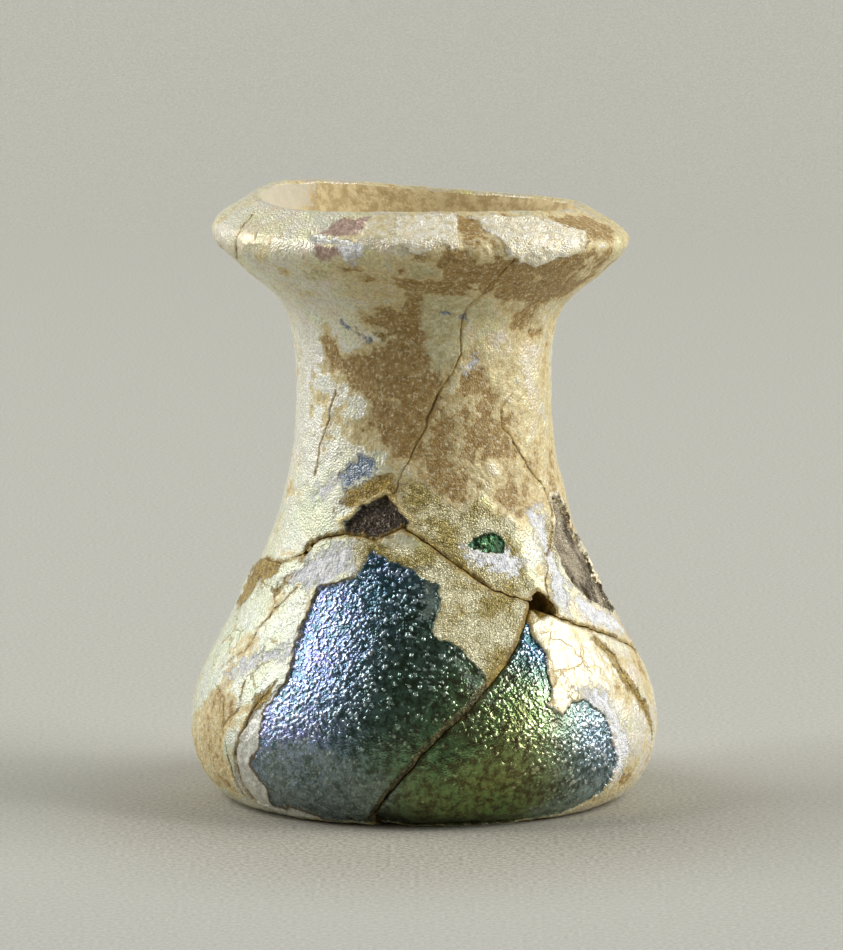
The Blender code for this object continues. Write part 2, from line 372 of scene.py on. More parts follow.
def nearest_on(route, azimuth, along, closed=False):
    """The nearest point of a route to each place, and the distance to it in mm on the surface."""
    points = np.vstack([route, route[:1]]) if closed else route
    turned = about(points, azimuth)
    per_degree = round_scale(along)
    best = np.full(len(azimuth), FAR_OFF)
    nearest = np.stack([azimuth, along], axis=1)
    for low, high in zip(points, points[1:]):
        run_x = (high[0] - low[0]) * per_degree
        run_y = high[1] - low[1]
        from_x = (turned - low[0]) * per_degree
        from_y = along - low[1]
        size = np.maximum(run_x ** 2 + run_y ** 2, NEXT_TO_NOTHING)
        share = np.clip((from_x * run_x + from_y * run_y) / size, 0, 1)
        distance = np.hypot(from_x - share * run_x, from_y - share * run_y)
        closer = distance < best
        best[closer] = distance[closer]
        nearest[closer, 0] = (low[0] + share * (high[0] - low[0]))[closer]
        nearest[closer, 1] = (low[1] + share * run_y)[closer]
    return nearest, best


def inside_outline(outline, azimuth, along):
    """Whether each place lies in a closed outline."""
    turned = about(outline, azimuth)
    within = np.zeros(len(azimuth), bool)
    for low, high in zip(outline, np.roll(outline, -1, axis=0)):
        crosses = (low[1] > along) != (high[1] > along)
        rise = high[1] - low[1] if high[1] != low[1] else NEXT_TO_NOTHING
        within ^= crosses & (turned < low[0] + (along - low[1]) / rise * (high[0] - low[0]))
    return within


def with_holes(into, nearest, azimuth, along):
    """A sherd's field again, with the holes in the breaks taken out of it."""
    for hole in holes:
        spot, distance = nearest_on(hole, azimuth, along, closed=True)
        clear = np.where(inside_outline(hole, azimuth, along), -distance, distance)
        nearest = np.where((clear < into)[:, None], spot, nearest)
        into = np.minimum(into, clear)
    return into, nearest


def neck_edge(azimuth, along):
    """How far each place lies above the break round the shoulder, and the break's nearest point."""
    nearest, distance = nearest_on(neck_break, azimuth, along)
    above = along > np.interp(azimuth, neck_break[:, 0], neck_break[:, 1])
    return with_holes(np.where(above, distance, -distance), nearest, azimuth, along)


def body_edge(azimuth, along, right_side):
    """How far each place lies inside the front right sherd, or else inside the rest of the body."""
    nearest_above, distance_above = nearest_on(neck_break, azimuth, along)
    above = along > np.interp(azimuth, neck_break[:, 0], neck_break[:, 1])
    below = np.where(above, -distance_above, distance_above)
    nearest, distance = nearest_on(front_right_outline, azimuth, along, closed=True)
    within = inside_outline(front_right_outline, azimuth, along)
    into = np.where(within == right_side, distance, -distance)
    nearest = np.where((below < into)[:, None], nearest_above, nearest)
    return with_holes(np.minimum(into, below), nearest, azimuth, along)


def front_right_edge(azimuth, along):
    return body_edge(azimuth, along, True)


def left_and_back_edge(azimuth, along):
    return body_edge(azimuth, along, False)


# Sherds as closed solids
# Each sherd is cut from a turned skin along its breaks, and then given the wall of the glass.

ROW_STEP = 0.6
WALL_ROWS = 3
SHERD_GAP = 0.05
SMALLEST = 1e-4
POLE_SIZE = 0.01
LEAST_INWARD = 0.02


def blank(low, high, columns, row_step):
    """A stretch of the outside spun up from its outline, in mm, with the length along it in a layer."""
    shape = bmesh.new()
    along_layer = shape.verts.layers.float.new("along")
    rows = np.linspace(low, high, round((high - low) / row_step) + 1)
    radius, height = section(rows, 0.0)[:2]
    line = []
    for along, out, up in zip(rows, radius, height):
        vertex = shape.verts.new((0, -out, up))
        vertex[along_layer] = along
        line.append(vertex)
    edges = [shape.edges.new(pair) for pair in zip(line, line[1:])]
    bmesh.ops.spin(
        shape, geom=line + edges, cent=(0, 0, 0), axis=(0, 0, 1), angle=math.tau, steps=columns,
        use_merge=True,
    )
    poles = [v for v in shape.verts if math.hypot(v.co.x, v.co.y) < SMALLEST]
    bmesh.ops.remove_doubles(shape, verts=poles, dist=POLE_SIZE)
    bmesh.ops.triangulate(shape, faces=shape.faces[:], quad_method="ALTERNATE")
    bmesh.ops.recalc_face_normals(shape, faces=shape.faces[:])
    return shape


def places(shape):
    """Azimuth and length along of every vertex."""
    layer = shape.verts.layers.float["along"]
    spots = np.array([(v.co.x, v.co.y, v[layer]) for v in shape.verts])
    return np.degrees(np.arctan2(spots[:, 0], -spots[:, 1])), spots[:, 2]


def snap(shape, chosen, into, nearest, azimuth, along):
    """Moves the chosen outer vertices onto the nearest point of a sherd's outline, less its gap."""
    layer = shape.verts.layers.float["along"]
    inward = np.stack([(azimuth - nearest[:, 0] + 180) % 360 - 180, along - nearest[:, 1]], axis=1)
    inward *= np.where(into > 0, 1, -1)[:, None]
    size = np.maximum(np.hypot(inward[:, 0] * round_scale(along), inward[:, 1]), LEAST_INWARD)
    new_azimuth = nearest[:, 0] + inward[:, 0] / size * SHERD_GAP
    new_along = nearest[:, 1] + inward[:, 1] / size * SHERD_GAP
    radius, height = section(new_along, 0.0)[:2]
    turn = np.radians(new_azimuth)
    shape.verts.ensure_lookup_table()
    for i in chosen:
        vertex = shape.verts[int(i)]
        vertex.co = (radius[i] * math.sin(turn[i]), -radius[i] * math.cos(turn[i]), height[i])
        vertex[layer] = new_along[i]


def fans(vertex):
    """The groups of a vertex's faces that are joined to each other by edges there."""
    left = set(vertex.link_faces)
    groups = []
    while left:
        group = [left.pop()]
        for face in group:
            for edge in face.edges:
                if vertex in edge.verts:
                    joined = [f for f in edge.link_faces if f in left]
                    left.difference_update(joined)
                    group.extend(joined)
        groups.append(group)
    return sorted(groups, key=len)


def cut_out(shape, field):
    """Keeps what lies inside a sherd's outline, with the vertices by the outline moved onto it."""
    azimuth, along = places(shape)
    into, nearest = field(azimuth, along)
    shape.verts.index_update()
    pairs = np.array([(e.verts[0].index, e.verts[1].index) for e in shape.edges])
    crossing = pairs[(into[pairs[:, 0]] > 0) != (into[pairs[:, 1]] > 0)]
    first_closer = np.abs(into[crossing[:, 0]]) <= np.abs(into[crossing[:, 1]])
    snapped = np.unique(np.where(first_closer, crossing[:, 0], crossing[:, 1]))
    kept = into > 0
    kept[snapped] = False
    doomed = [f for f in shape.faces if not any(kept[v.index] for v in f.verts)]
    snap(shape, snapped, into, nearest, azimuth, along)
    bmesh.ops.delete(shape, geom=doomed, context="FACES")
    pinched = True
    while pinched:
        pinched = [f for v in shape.verts if len(v.link_faces) for group in fans(v)[:-1] for f in group]
        bmesh.ops.delete(shape, geom=list(set(pinched)), context="FACES")
    loose = [v for v in shape.verts if not v.link_faces]
    bmesh.ops.delete(shape, geom=loose, context="VERTS")


def give_wall(shape):
    """Adds the inside and the broken faces, so that the sherd is one closed solid."""
    depth_layer = shape.verts.layers.float.new("depth")
    along_layer = shape.verts.layers.float["along"]
    kept = shape.faces[:] + shape.edges[:] + shape.verts[:]
    raised = bmesh.ops.extrude_face_region(shape, geom=kept, use_keep_orig=True)
    for vertex in raised["geom"]:
        if isinstance(vertex, bmesh.types.BMVert):
            vertex[depth_layer] = 1.0
    for vertex in shape.verts:
        if vertex[depth_layer] == 1.0:
            turn = math.atan2(vertex.co.x, -vertex.co.y)
            radius, height = (float(value) for value in section(vertex[along_layer], 1.0)[:2])
            vertex.co = (radius * math.sin(turn), -radius * math.cos(turn), height)
    across = [e for e in shape.edges if e.verts[0][depth_layer] != e.verts[1][depth_layer]]
    bmesh.ops.subdivide_edges(shape, edges=across, cuts=WALL_ROWS - 1)
    bmesh.ops.recalc_face_normals(shape, faces=shape.faces[:])


def refine(shape, field, wanted):
    """Splits every face that is wanted into four, and lays the new edge of the break on its outline."""
    depth_layer = shape.verts.layers.float["depth"]
    shape.verts.index_update()
    chosen = wanted(*places(shape))
    faces = [
        f for f in shape.faces
        if all(v[depth_layer] == 0.0 for v in f.verts) and any(chosen[v.index] for v in f.verts)
    ]
    edges = list({e for f in faces for e in f.edges})
    bmesh.ops.subdivide_edges(shape, edges=edges, cuts=1)
    bmesh.ops.triangulate(shape, faces=[f for f in shape.faces if len(f.verts) > 3])
    shape.verts.index_update()
    azimuth, along = places(shape)
    outer = np.array([v[depth_layer] == 0.0 for v in shape.verts])
    by_wall = np.array([any(w[depth_layer] > 0 for f in v.link_faces for w in f.verts) for v in shape.verts])
    rim = np.flatnonzero(outer & by_wall & (along < lip_along - SMALLEST))
    into, nearest = np.zeros(len(azimuth)), np.stack([azimuth, along], axis=1)
    into[rim], nearest[rim] = field(azimuth[rim], along[rim])
    rim = rim[np.abs(into[rim]) < ROW_STEP / 2]
    snap(shape, rim, into, nearest, azimuth, along)


# The weathered skin
# Centuries in damp soil turned the outside of the glass to a crust about a fifth of a millimetre
# thick. Where it has flaked off, the dark green glass shows, pitted and covered with rainbow film.
# An outline here is (azimuth, height), and a finish is a patch of one kind of surface.

CRUST_THICKNESS = 0.22
OUT_OF_REACH = 1.5
LEAST_WEIGHT = 1e-6

FRONT_GLASS = [
    (-37, 17.3), (-32, 17.6), (-25, 18.3), (-19, 20.1), (-13, 19.5), (-2, 18.7), (4, 18.0), (6, 17.2),
    (5, 16.2), (3, 15.1), (3.5, 14.4), (8, 13.9), (11, 13.4), (15, 12.0), (18, 10.6), (30, 6.0),
    (25, 0.05), (-25, 0.3), (-33, 0.8), (-43.5, 1.2), (-44, 2.4), (-46, 3.5), (-47, 4.7), (-44, 6.1),
    (-44, 8.4), (-41, 9.7), (-38, 10.3), (-38, 11.0), (-40, 12.7), (-39, 13.8), (-39, 15.0), (-39, 16.2),
]
RIGHT_GLASS = [
    (33, 15.6), (34.5, 14.9), (34.5, 13.9), (36.5, 12.7), (36, 11.1), (33.5, 9.0), (36.5, 8.2),
    (40, 9.1), (45.5, 9.1), (49.5, 8.2), (52, 7.2), (53, 6.0), (56, 4.3), (53, 2.1), (50.5, 1.5),
    (42, 0.3), (20, 0.05), (-25, 0.05), (-20, 4.0), (10, 14.0),
]
BACK_GLASS = [(150, 10.5), (163, 12.0), (172, 9.0), (169, 5.5), (158, 3.0), (146, 4.5), (142, 8.0)]
GREEN_WINDOW = [(17, 20.6), (22, 21.4), (28, 21.4), (33, 20.7), (31, 19.9), (24, 20.0)]
BODY_PATCHES = {
    "silver": [
        [
            (-36, 10.2), (-41, 10.2), (-50, 7.0), (-52.5, 5.5), (-54, 4.6), (-54.5, 2.7), (-53, 1.1),
            (-30, 0.4), (-30, 5.0),
        ],
    ],
    "tan": [
        [
            (-81, 6.5), (-64, 9.2), (-55, 8.8), (-55, 6.6), (-58, 4.9), (-57, 3), (-57, 1.4), (-86, 1.1),
            (-90, 3.7),
        ],
        [(120, 9), (135, 12), (150, 6), (140, 2), (122, 3)],
    ],
    "gold": [
        [(-88, 14.8), (-84, 17.0), (-72, 18.6), (-60, 18.9), (-61, 17.7), (-72, 16.5), (-79, 14.6)],
        [(-60, 16.6), (-52, 18.0), (-47, 18.2), (-50, 17.4), (-57, 16.2)],
        [
            (56, 13.4), (62, 12.6), (67, 10.2), (74, 8.0), (80, 5.6), (77, 5.0), (71, 7.0), (64, 9.4),
            (61, 11.8),
        ],
        [(-47, 9.4), (-44, 10.2), (-42, 9.4), (-45, 7.2), (-50, 5.8), (-49, 7.4)],
    ],
    "glitter": [
        [(-64, 10.6), (-52, 12.1), (-42, 13.2), (-40, 12.8), (-52, 11.5), (-62, 10.0)],
        [(-52, 17.4), (-46, 19.2), (-36, 20.4), (-28, 20.6), (-26, 18.8), (-36, 17.6), (-44, 17.0)],
        [(44, 9.9), (52, 9.7), (57, 7.0), (60, 4.6), (58, 2.6), (54, 3.6), (53, 6.4), (50, 8.2), (45, 9.2)],
    ],
    "grainy": [
        [
            (-30, 21.0), (4, 20.6), (20, 17.6), (38, 16.2), (34, 14.0), (26, 9.5), (8, 8.0), (-2, 14.0),
            (-24, 18.0),
        ],
    ],
    "smooth": [
        [
            (35, 14.7), (43, 15.4), (53, 14.2), (60, 12.9), (63, 11.0), (55, 8.7), (50, 8.6), (45, 9.3),
            (40, 9.2), (36, 8.4), (34, 9.0), (37, 11.1), (37, 12.8), (35, 13.9),
        ],
    ],
}
NECK_PATCHES = {
    "brown": [
        [
            (-26, 38.6), (-10, 38.3), (-6, 38.9), (0, 39.5), (4, 38.2), (2, 35.4), (-8, 35.8), (-18, 36.6),
            (-26, 37.2),
        ],
        [
            (-23, 35.4), (-10, 36.2), (2, 35.4), (7, 33.4), (5, 31.6), (0, 29.1), (-5, 26.7), (-14, 26.8),
            (-20, 29.0), (-24, 31.2), (-34, 32.0), (-40, 33.1), (-34, 34.9),
        ],
        [(18, 33.1), (28, 33.4), (36, 31.0), (25, 28.2), (19, 25.3), (6, 24.6), (5, 28.3), (11, 31.3)],
        [(-52, 35.5), (-45, 35.9), (-39, 34.2), (-35, 33.4), (-45, 33.2), (-49, 34.0)],
        [
            (-25, 41.9), (-18, 42.6), (-13, 42.8), (-5, 43.1), (3, 43.2), (9, 43.3), (17, 42.1), (25, 42.4),
            (34, 41.5), (42, 42.4), (54, 42.9), (66, 43.0), (72, 40.6), (66, 38.6), (39, 38.9), (22, 39.0),
            (9, 39.0), (1, 39.9), (-8, 40.0), (-18, 40.6),
        ],
        [
            (11, 45.5), (16, 45.4), (19, 45.0), (21, 44.2), (23, 43.7), (23, 42.1), (18, 42.1), (13, 43.5),
            (11, 44.4),
        ],
        [(47, 45.4), (70, 45.2), (80, 44.5), (71, 43.6), (67, 43.1), (56, 43.6), (56, 44.2), (49, 44.8)],
        [(130, 36.0), (150, 41.0), (170, 39.0), (175, 30.0), (155, 27.0), (138, 30.0)],
    ],
    "pale": [
        [
            (0, 39.4), (27, 39.0), (30, 37.3), (18, 37.3), (17, 34.8), (11, 33.4), (3, 33.5), (2, 35.3),
            (-1, 37.2),
        ],
        [(-3, 41.9), (2, 42.0), (5, 41.3), (1, 40.8), (-3, 41.1)],
        [(-36, 41.4), (-31, 41.6), (-29, 41.3), (-31, 40.8), (-36, 40.5), (-37, 40.8)],
    ],
    "tan": [
        [(38, 30.4), (49, 31.2), (50, 29.9), (45, 28.6), (41, 28.7)],
        [(44, 25.7), (57, 25.1), (58, 23.2), (50, 21.6), (45, 22.0), (43, 23.6)],
        [(-30, 29.4), (-25, 29.7), (-16, 29.7), (-14, 28.7), (-20, 27.8), (-24, 28.0), (-29, 28.6)],
        [(35, 45.1), (44, 44.9), (40, 44.4), (37, 44.4)],
        [(-150, 38.0), (-130, 41.0), (-115, 33.0), (-128, 26.0), (-148, 29.0)],
    ],
    "white": [
        [
            (-8, 45.5), (11, 45.5), (11, 44.4), (10, 43.4), (5, 43.4), (0, 43.0), (-5, 43.2), (-11, 43.8),
            (-7, 44.1),
        ],
        [
            (16, 45.4), (45, 45.2), (47, 44.8), (56, 44.2), (51, 43.3), (49, 42.6), (42, 42.4), (34, 41.6),
            (25, 42.6), (23, 43.7), (21, 44.2), (19, 45.0),
        ],
    ],
    "grainy": [
        [
            (-12, 24.6), (-4, 25.6), (10, 23.4), (20, 23.6), (30, 23.0), (36, 22.0), (38, 19.0), (41, 16.4),
            (30, 16.4), (16, 18.2), (2, 20.4), (-6, 21.6),
        ],
        [(48, 20.4), (58, 22.0), (60, 19.6), (50, 16.0), (46, 16.4)],
    ],
    "glitter": [
        [(15, 20.4), (24, 20.0), (31, 20.1), (37, 19.2), (33, 18.2), (26, 18.5), (17, 19.6)],
        [(-23, 43.6), (-17, 43.6), (-18, 42.3), (-20, 42.3), (-22, 42.8)],
        [(-38, 25.2), (-37, 24.7), (-51, 23.5), (-52, 23.9)],
        [(19, 34.0), (22, 34.2), (23, 33.7), (20, 33.7)],
        [(48, 22.4), (53, 22.8), (54, 20.4), (56, 17.0), (51, 15.2), (47, 16.2), (50, 19.4)],
        [(58, 16.4), (68, 14.8), (82, 13.6), (86, 12.6), (70, 13.4), (56, 15.0)],
    ],
    "smooth": [
        [(-17, 45.3), (-8, 45.5), (-7, 44.0), (-17, 44.0)],
        [(-60, 43.8), (-59, 44.8), (-54, 44.4), (-51, 43.2), (-58, 42.6)],
    ],
    "pink": [
        [(-30, 44.3), (-28, 45.2), (-24, 45.3), (-17, 45.3), (-18, 44.1), (-24, 44.1)],
        [(-30, 43.5), (-23, 43.5), (-22, 42.8), (-25, 42.3), (-28, 42.2), (-30, 42.6)],
    ],
    "silver": [[(-33, 44.2), (-18, 44.0), (-18, 43.6), (-23, 43.5), (-30, 43.6)]],
    "blue": [
        [(-35, 37.1), (-22, 35.8), (-23, 35.6), (-29, 36.0), (-35, 36.8)],
        [
            (-28, 26.9), (-22, 26.9), (-20, 26.1), (-23, 25.5), (-31, 24.7), (-37, 24.7), (-38, 25.5),
            (-34, 26.1),
        ],
        [(7, 37.9), (10, 38.2), (11, 37.9), (9, 37.5)],
        [(14, 37.7), (17, 37.9), (18, 37.5), (15, 37.4)],
    ],
    "gold": [
        [
            (-38, 23.0), (-34, 24.4), (-25, 25.3), (-14, 25.7), (-9, 24.6), (-11, 23.2), (-19, 23.9),
            (-30, 23.2),
        ],
        [(-19, 36.4), (-13, 36.4), (-15, 36.0), (-20, 35.9)],
    ],
    "loss": [
        [(-33, 22.0), (-26, 23.3), (-16, 24.1), (-6, 22.3), (-9, 20.9), (-19, 20.2), (-30, 20.6)],
    ],
    "slot": [
        [
            (66, 23.3), (64, 21.6), (58, 20.3), (58, 17.7), (66, 15.7), (80, 14.4), (92, 15.3), (90, 18.0),
            (84, 21.0), (73, 23.1),
        ],
    ],
}
NECK_CRACKS = [
    [
        (-14, 24.2), (-10, 25.4), (-5, 27.3), (0, 29.1), (6, 31.2), (14, 33.7), (17, 34.6), (16.5, 36.8),
        (16.5, 38.4), (21, 39.3), (25, 41.1), (27, 42.4),
    ],
    [(43, 16.1), (46, 17.7), (52, 19.5), (59, 21.0), (62, 22.4), (60, 24.2)],
    [(60, 24.2), (49.5, 26.4), (43, 27.8), (36.5, 29.1), (38, 30.7), (43, 31.4)],
    [(-44, 31.6), (-46, 30.6), (-49, 28.9), (-53, 27.3), (-54, 25.2)],
    [(47, 44.9), (50, 44.5), (54, 44.4), (56, 44.2), (55, 43.6), (51, 43.0)],
    [(-66, 44.9), (-60, 43.6), (-62, 42.2), (-70, 41.4)],
    [(150, 14.4), (156, 19.4), (148, 24.2), (152, 30.2), (144, 37.2), (147, 41.0)],
]
BODY_CRACKS = [
    [(-47.5, 17.1), (-54, 15.4), (-58.5, 13.7), (-59.5, 12.1), (-69, 10.7)],
    [(-54, 10.2), (-53, 8.4), (-59, 6.7), (-57.5, 5.3), (-56, 3.4), (-55, 1.4)],
    [(-42, 10.6), (-46, 9.2), (-50.5, 6.6), (-53.2, 5.0), (-54, 3.0), (-51, 0.9), (-46, 0.3)],
    [(-66, 9.2), (-61, 8.6), (-58.5, 7.2), (-59, 6.7)],
    [(58, 13.6), (64, 11.8), (66, 9.5), (74, 7.1), (78, 5.2), (76, 3.0)],
    [
        (-118, 16.0), (-114, 14.4), (-113, 12.8), (-118, 11.0), (-121.5, 9.2), (-118, 7.0), (-114, 5.4),
        (-116, 3.4), (-119, 1.7), (-117, 0.4),
    ],
]
# Tints and amounts on the outside, each with its place as (azimuth, height) and its reach in mm
CRUST_TINTS = [
    ("#DAE0CA", (-60, 13), 9), ("#D2D6BE", (-44, 21), 6), ("#F2F1E4", (-54, 31), 8), ("#ECE2C4", (60, 33), 7),
    ("#CDBE8E", (30, 30), 5), ("#D8C99C", (36, 25), 5), ("#CCC88E", (8, 19), 5), ("#CCBE86", (22, 14), 4),
    ("#E0DABE", (-60, 43), 8), ("#D4C698", (0, 40), 5), ("#EEE6CE", (70, 12), 8), ("#D6C9A0", (150, 20), 20),
    ("#DCE6D8", (51, 19), 3),
]
FILM_TINTS = [
    ("#D6DAFE", (-33, 14), 6), ("#D4D6FA", (-40, 9), 4), ("#98A6AC", (-36, 3), 5), ("#B6CCC8", (2, 15), 5),
    ("#AEC8BC", (-6, 11), 5), ("#8EB480", (5, 6), 5), ("#A6C0E4", (-16, 18), 3), ("#D2DE9C", (26, 9), 5),
    ("#A8BAF0", (35, 13), 3), ("#BCA868", (18, 4), 6), ("#DCE8F6", (48, 6), 5), ("#9ABA80", (20, 1), 5),
    ("#4A8040", (25, 20.7), 2.5), ("#9AB0A0", (158, 7), 9),
]
# The film in the gaps between the knobs, in its own hue but painted darker as the shade in those hollows
GAP_SHADE_TINTS = [
    ("#8E98D2", (-33, 13), 6), ("#8C94C0", (-42, 8), 4), ("#72828A", (-36, 3), 5), ("#445F4C", (0, 15), 5),
    ("#42634A", (-8, 11), 5), ("#548058", (5, 6), 5), ("#3E667A", (-16, 18), 3), ("#74914C", (26, 9), 5),
    ("#3E5E8C", (35, 13), 3), ("#8E8A4C", (18, 4), 6), ("#8094AC", (48, 6), 5), ("#6A8C52", (20, 1), 5),
    ("#1C3C1E", (25, 20.7), 2.5), ("#3E5A4A", (158, 7), 9),
]
WORN = [
    (0.02, (-60, 13), 9), (-0.12, (-54, 31), 8), (0.60, (8, 34), 7), (0.78, (38, 27), 6),
    (-0.1, (-60, 43), 8), (0.20, (20, 18), 6), (0.24, (75, 11), 8), (0.30, (75, 32), 7),
    (0.30, (150, 20), 20), (0.60, (-14, 40), 4),
]
CRAZED = [
    (0.50, (-58, 12), 8), (0.3, (-52, 28), 7), (0.1, (-60, 43), 8), (0.2, (0, 38), 8), (0.5, (45, 12), 5),
    (0.4, (62, 28), 7), (0.0, (10, 18), 8), (0.0, (-50, 3), 4), (0.35, (150, 20), 20),
]
KNOBS = [
    (1.0, (-32, 13), 8), (0.9, (-8, 15), 4), (0.8, (2, 16), 3), (0.9, (-2, 11), 4), (0.6, (4, 7), 4),
    (0.1, (-20, 1), 5), (1.0, (42, 10), 7), (0.9, (20, 8), 5), (0.3, (16, 2), 5), (1.0, (25, 21), 3),
    (0.8, (158, 8), 9),
]
SPARSE = [
    (0.0, (-33, 13), 6), (0.4, (-16, 17), 4), (0.75, (0, 14), 6), (0.8, (5, 6), 6), (0.3, (20, 9), 5),
    (0.8, (18, 3), 5), (0.0, (42, 10), 6), (0.3, (158, 8), 9),
]
VEILS = [
    [
        (-46, 5.2), (-38, 6.2), (-30, 6.6), (-22, 6.0), (-14, 4.8), (-6, 3.6), (-9, 1.5), (-16, 0.3),
        (-50, 0.3),
    ],
    [(-2, 18.8), (5, 18.0), (6, 16.6), (3, 15.4), (4, 14.2), (1, 14.6), (0, 16.6)],
    [(9, 12.6), (16, 11.4), (19, 9.8), (15, 10.0), (9, 11.6)],
    [(30, 1.2), (44, 2.2), (52, 3.4), (52, 1.4), (42, 0.2), (28, 0.1)],
]


def linear(colour):
    """An sRGB hex colour as linear red, green, blue and alpha."""
    parts = [int(colour[i:i + 2], 16) / 255 for i in (1, 3, 5)]
    return [c / 12.92 if c <= 0.04045 else ((c + 0.055) / 1.055) ** 2.4 for c in parts] + [1.0]


def eased(share):
    share = np.clip(share, 0, 1)
    return share * share * (3 - 2 * share)


def ramp(value, low, high):
    """Climbs softly from 0 at a low value to 1 at a high one."""
    return eased((value - low) / (high - low))


def ridge(value, middle, width):
    """Swells softly to 1 round a middle value."""
    return np.exp(-((value - middle) / width) ** 2)


def within_reach(points, azimuth, along):
    """Which places are close enough to some points to be worth measuring."""
    low, high = points.min(axis=0), points.max(axis=0)
    per_degree = round_scale(along)
    off_across = np.abs(about(points, azimuth) - (low[0] + high[0]) / 2) - (high[0] - low[0]) / 2
    off_along = np.abs(along - (low[1] + high[1]) / 2) - (high[1] - low[1]) / 2
    return (off_across * per_degree < OUT_OF_REACH) & (off_along < OUT_OF_REACH)


def into_patches(outlines, azimuth, along):
    """How far each place lies inside the nearest of some outlines, in mm."""
    deepest = np.full(len(azimuth), -OUT_OF_REACH)
    for outline in outlines:
        points = on_outside(outline)
        near = within_reach(points, azimuth, along)
        distance = nearest_on(points, azimuth[near], along[near], closed=True)[1]
        within = inside_outline(points, azimuth[near], along[near])
        deepest[near] = np.maximum(deepest[near], np.where(within, distance, -distance))
    return np.minimum(deepest, OUT_OF_REACH)


def from_cracks(routes, azimuth, along):
    """Each place's distance to the nearest of some routes along the outside, in mm."""
    closest = np.full(len(azimuth), OUT_OF_REACH)
    for points in routes:
        near = within_reach(points, azimuth, along)
        closest[near] = np.minimum(closest[near], nearest_on(points, azimuth[near], along[near])[1])
    return closest


def blended(table, azimuth, along):
    """Soft blends of values, each round its own place on the outside."""
    total = 0
    weights = np.zeros(len(azimuth))
    for value, spot, reach in table:
        place = on_outside([spot])
        across = (about(place, azimuth) - place[0, 0]) * round_scale(along)
        weight = np.exp(-np.hypot(across, along - place[0, 1]) / reach) ** 2 + LEAST_WEIGHT
        total = total + weight[:, None] * np.atleast_1d(value)
        weights += weight
    return total / weights[:, None]


LAYER_STEPS = {
    "grainy": -0.02, "white": 0.13, "pale": 0.0, "smooth": 0.02, "gold": -0.05, "glitter": -0.05,
    "pink": -0.02, "blue": -0.07, "silver": -0.12, "loss": -0.36, "slot": -0.30,
}
LAYER_EDGE = 0.08
# How worn the crust is in a patch, how patchily, and how much more or less so in two of the patches
WORN_IN_PATCH = {"tan": 0.68, "brown": 1.12, "pale": 0.2, "grainy": 0.15}
WORN_PATCHILY = 0.62
MORE_PATCHY = {"tan": -0.34, "brown": 0.16}
WORN_PATCH_EDGE = 0.55
# Where each worn layer starts, how deep it is sunk, and how far its edge curls up, as a share of that
WORN_EDGES = (0.35, 0.60, 0.86)
WORN_STEP = 0.04
WORN_STEP_EDGE = 0.03
WORN_CURL = 0.6
CURL_PLACE = (-0.06, 0.04)
FLECKS_WORN = 0.16
# Finishes with a relief of their own: its height, where it is full inside the edge, and its noise
ROUGH_FINISHES = {
    "grainy": (0.128, 0.4, (0.33, 201, 1)),
    "glitter": (0.12, 0.2, (0.45, 351, 2)),
    "white": (0.10, 0.2, (0.6, 261, 3)),
}
# The noises in the relief: the size of their lumps in mm, seed and layers
LUMPS = (3.5, 141, 3)
RAGS = (1.3, 101, 3)
CRUMBS = (0.6, 131, 2)
LEAVES = (2.6, 191, 4)
FLECKS = (0.5, 271, 2)
RIPPLES = (0.8, 251, 2)
PIT_LUMPS = (0.5, 211, 2)
RIM_LUMPS = (1.1, 231, 3)
KNOB_CLUMPS = (2.0, 221, 3)
KNOB_WARPS = ((0.35, 301, 2), (0.35, 311, 2), (0.35, 321, 2))
GLASS_WAVES = (0.7, 331, 3)
GLASS_DENTS = (0.9, 361, 4)
# How high they stand in mm: lumps, rags, crumbs and ripples, then the others in their own places
CRUST_HEIGHTS = (0.05, 0.035, 0.03, 0.03)
PIT_FLOOR_HEIGHT = 0.08
RIM_LUMP_HEIGHT = 0.12
GLASS_LUMP_HEIGHT = 0.015
GLASS_WAVE_HEIGHT = 0.03
GLASS_DENT_HEIGHT = 0.05
# How far the rags and crumbs shift the edges of patches, and the rags a crack
EDGE_STRAY = (0.22, 0.10)
CRACK_WANDER = 0.06
CRACK_UNEVEN = 0.03
# Places beside an edge in mm, and how high the crust curls up there
BARE_EDGE = (-0.06, 0.08)
FLAKED_EDGE = (-0.35, 0.25)
FLAKE_CURL = 0.03
PIT_EDGE = (-0.30, 0.25)
PIT_CURL = 0.08
PIT_FLOOR = (-0.5, -0.2)
RIM_REACH = 1.1
CRACK_DEPTH = 0.10
CRACK_WIDTH = 0.13
# The knobs and bubbles on the bare glass, and two swirls in it, each with its place and radius
KNOB_CELL = 0.31
KNOB_RADIUS = 0.23
KNOB_HEIGHT = 0.075
KNOB_WARP = 0.12
SMALLEST_KNOB = 0.5
SCARCE_EDGE = 0.2
BUBBLE_CELL = 0.9
BUBBLE_RADIUS = 0.42
BUBBLE_RING = (0.8, 0.16)
BUBBLE_SCARCITY = 0.85
BUBBLE_GAPS = 0.45
BUBBLE_SHOWN = (0.4, 1.2)
# How a blended amount of knobs, and of gaps among them, is stretched, lowered and clumped
KNOBBLY = (2, 0.6, 0.5)
SCARCE = (1.3, 0.15, 0.6)
MOST_SCARCE = 0.85
UNDER_VEIL = 0.72
VEIL_EDGE = (-0.3, 0.5)
GLASSY = -0.3
SWIRLS = [((-1.5, 15.2), 1.15), ((14, 9.0), 0.85)]
SWIRL_RIDGES = ((1, 0.05), (0.6, 0.03))
SWIRL_WIDTH = 0.08
SWIRL_STRAY = 0.08


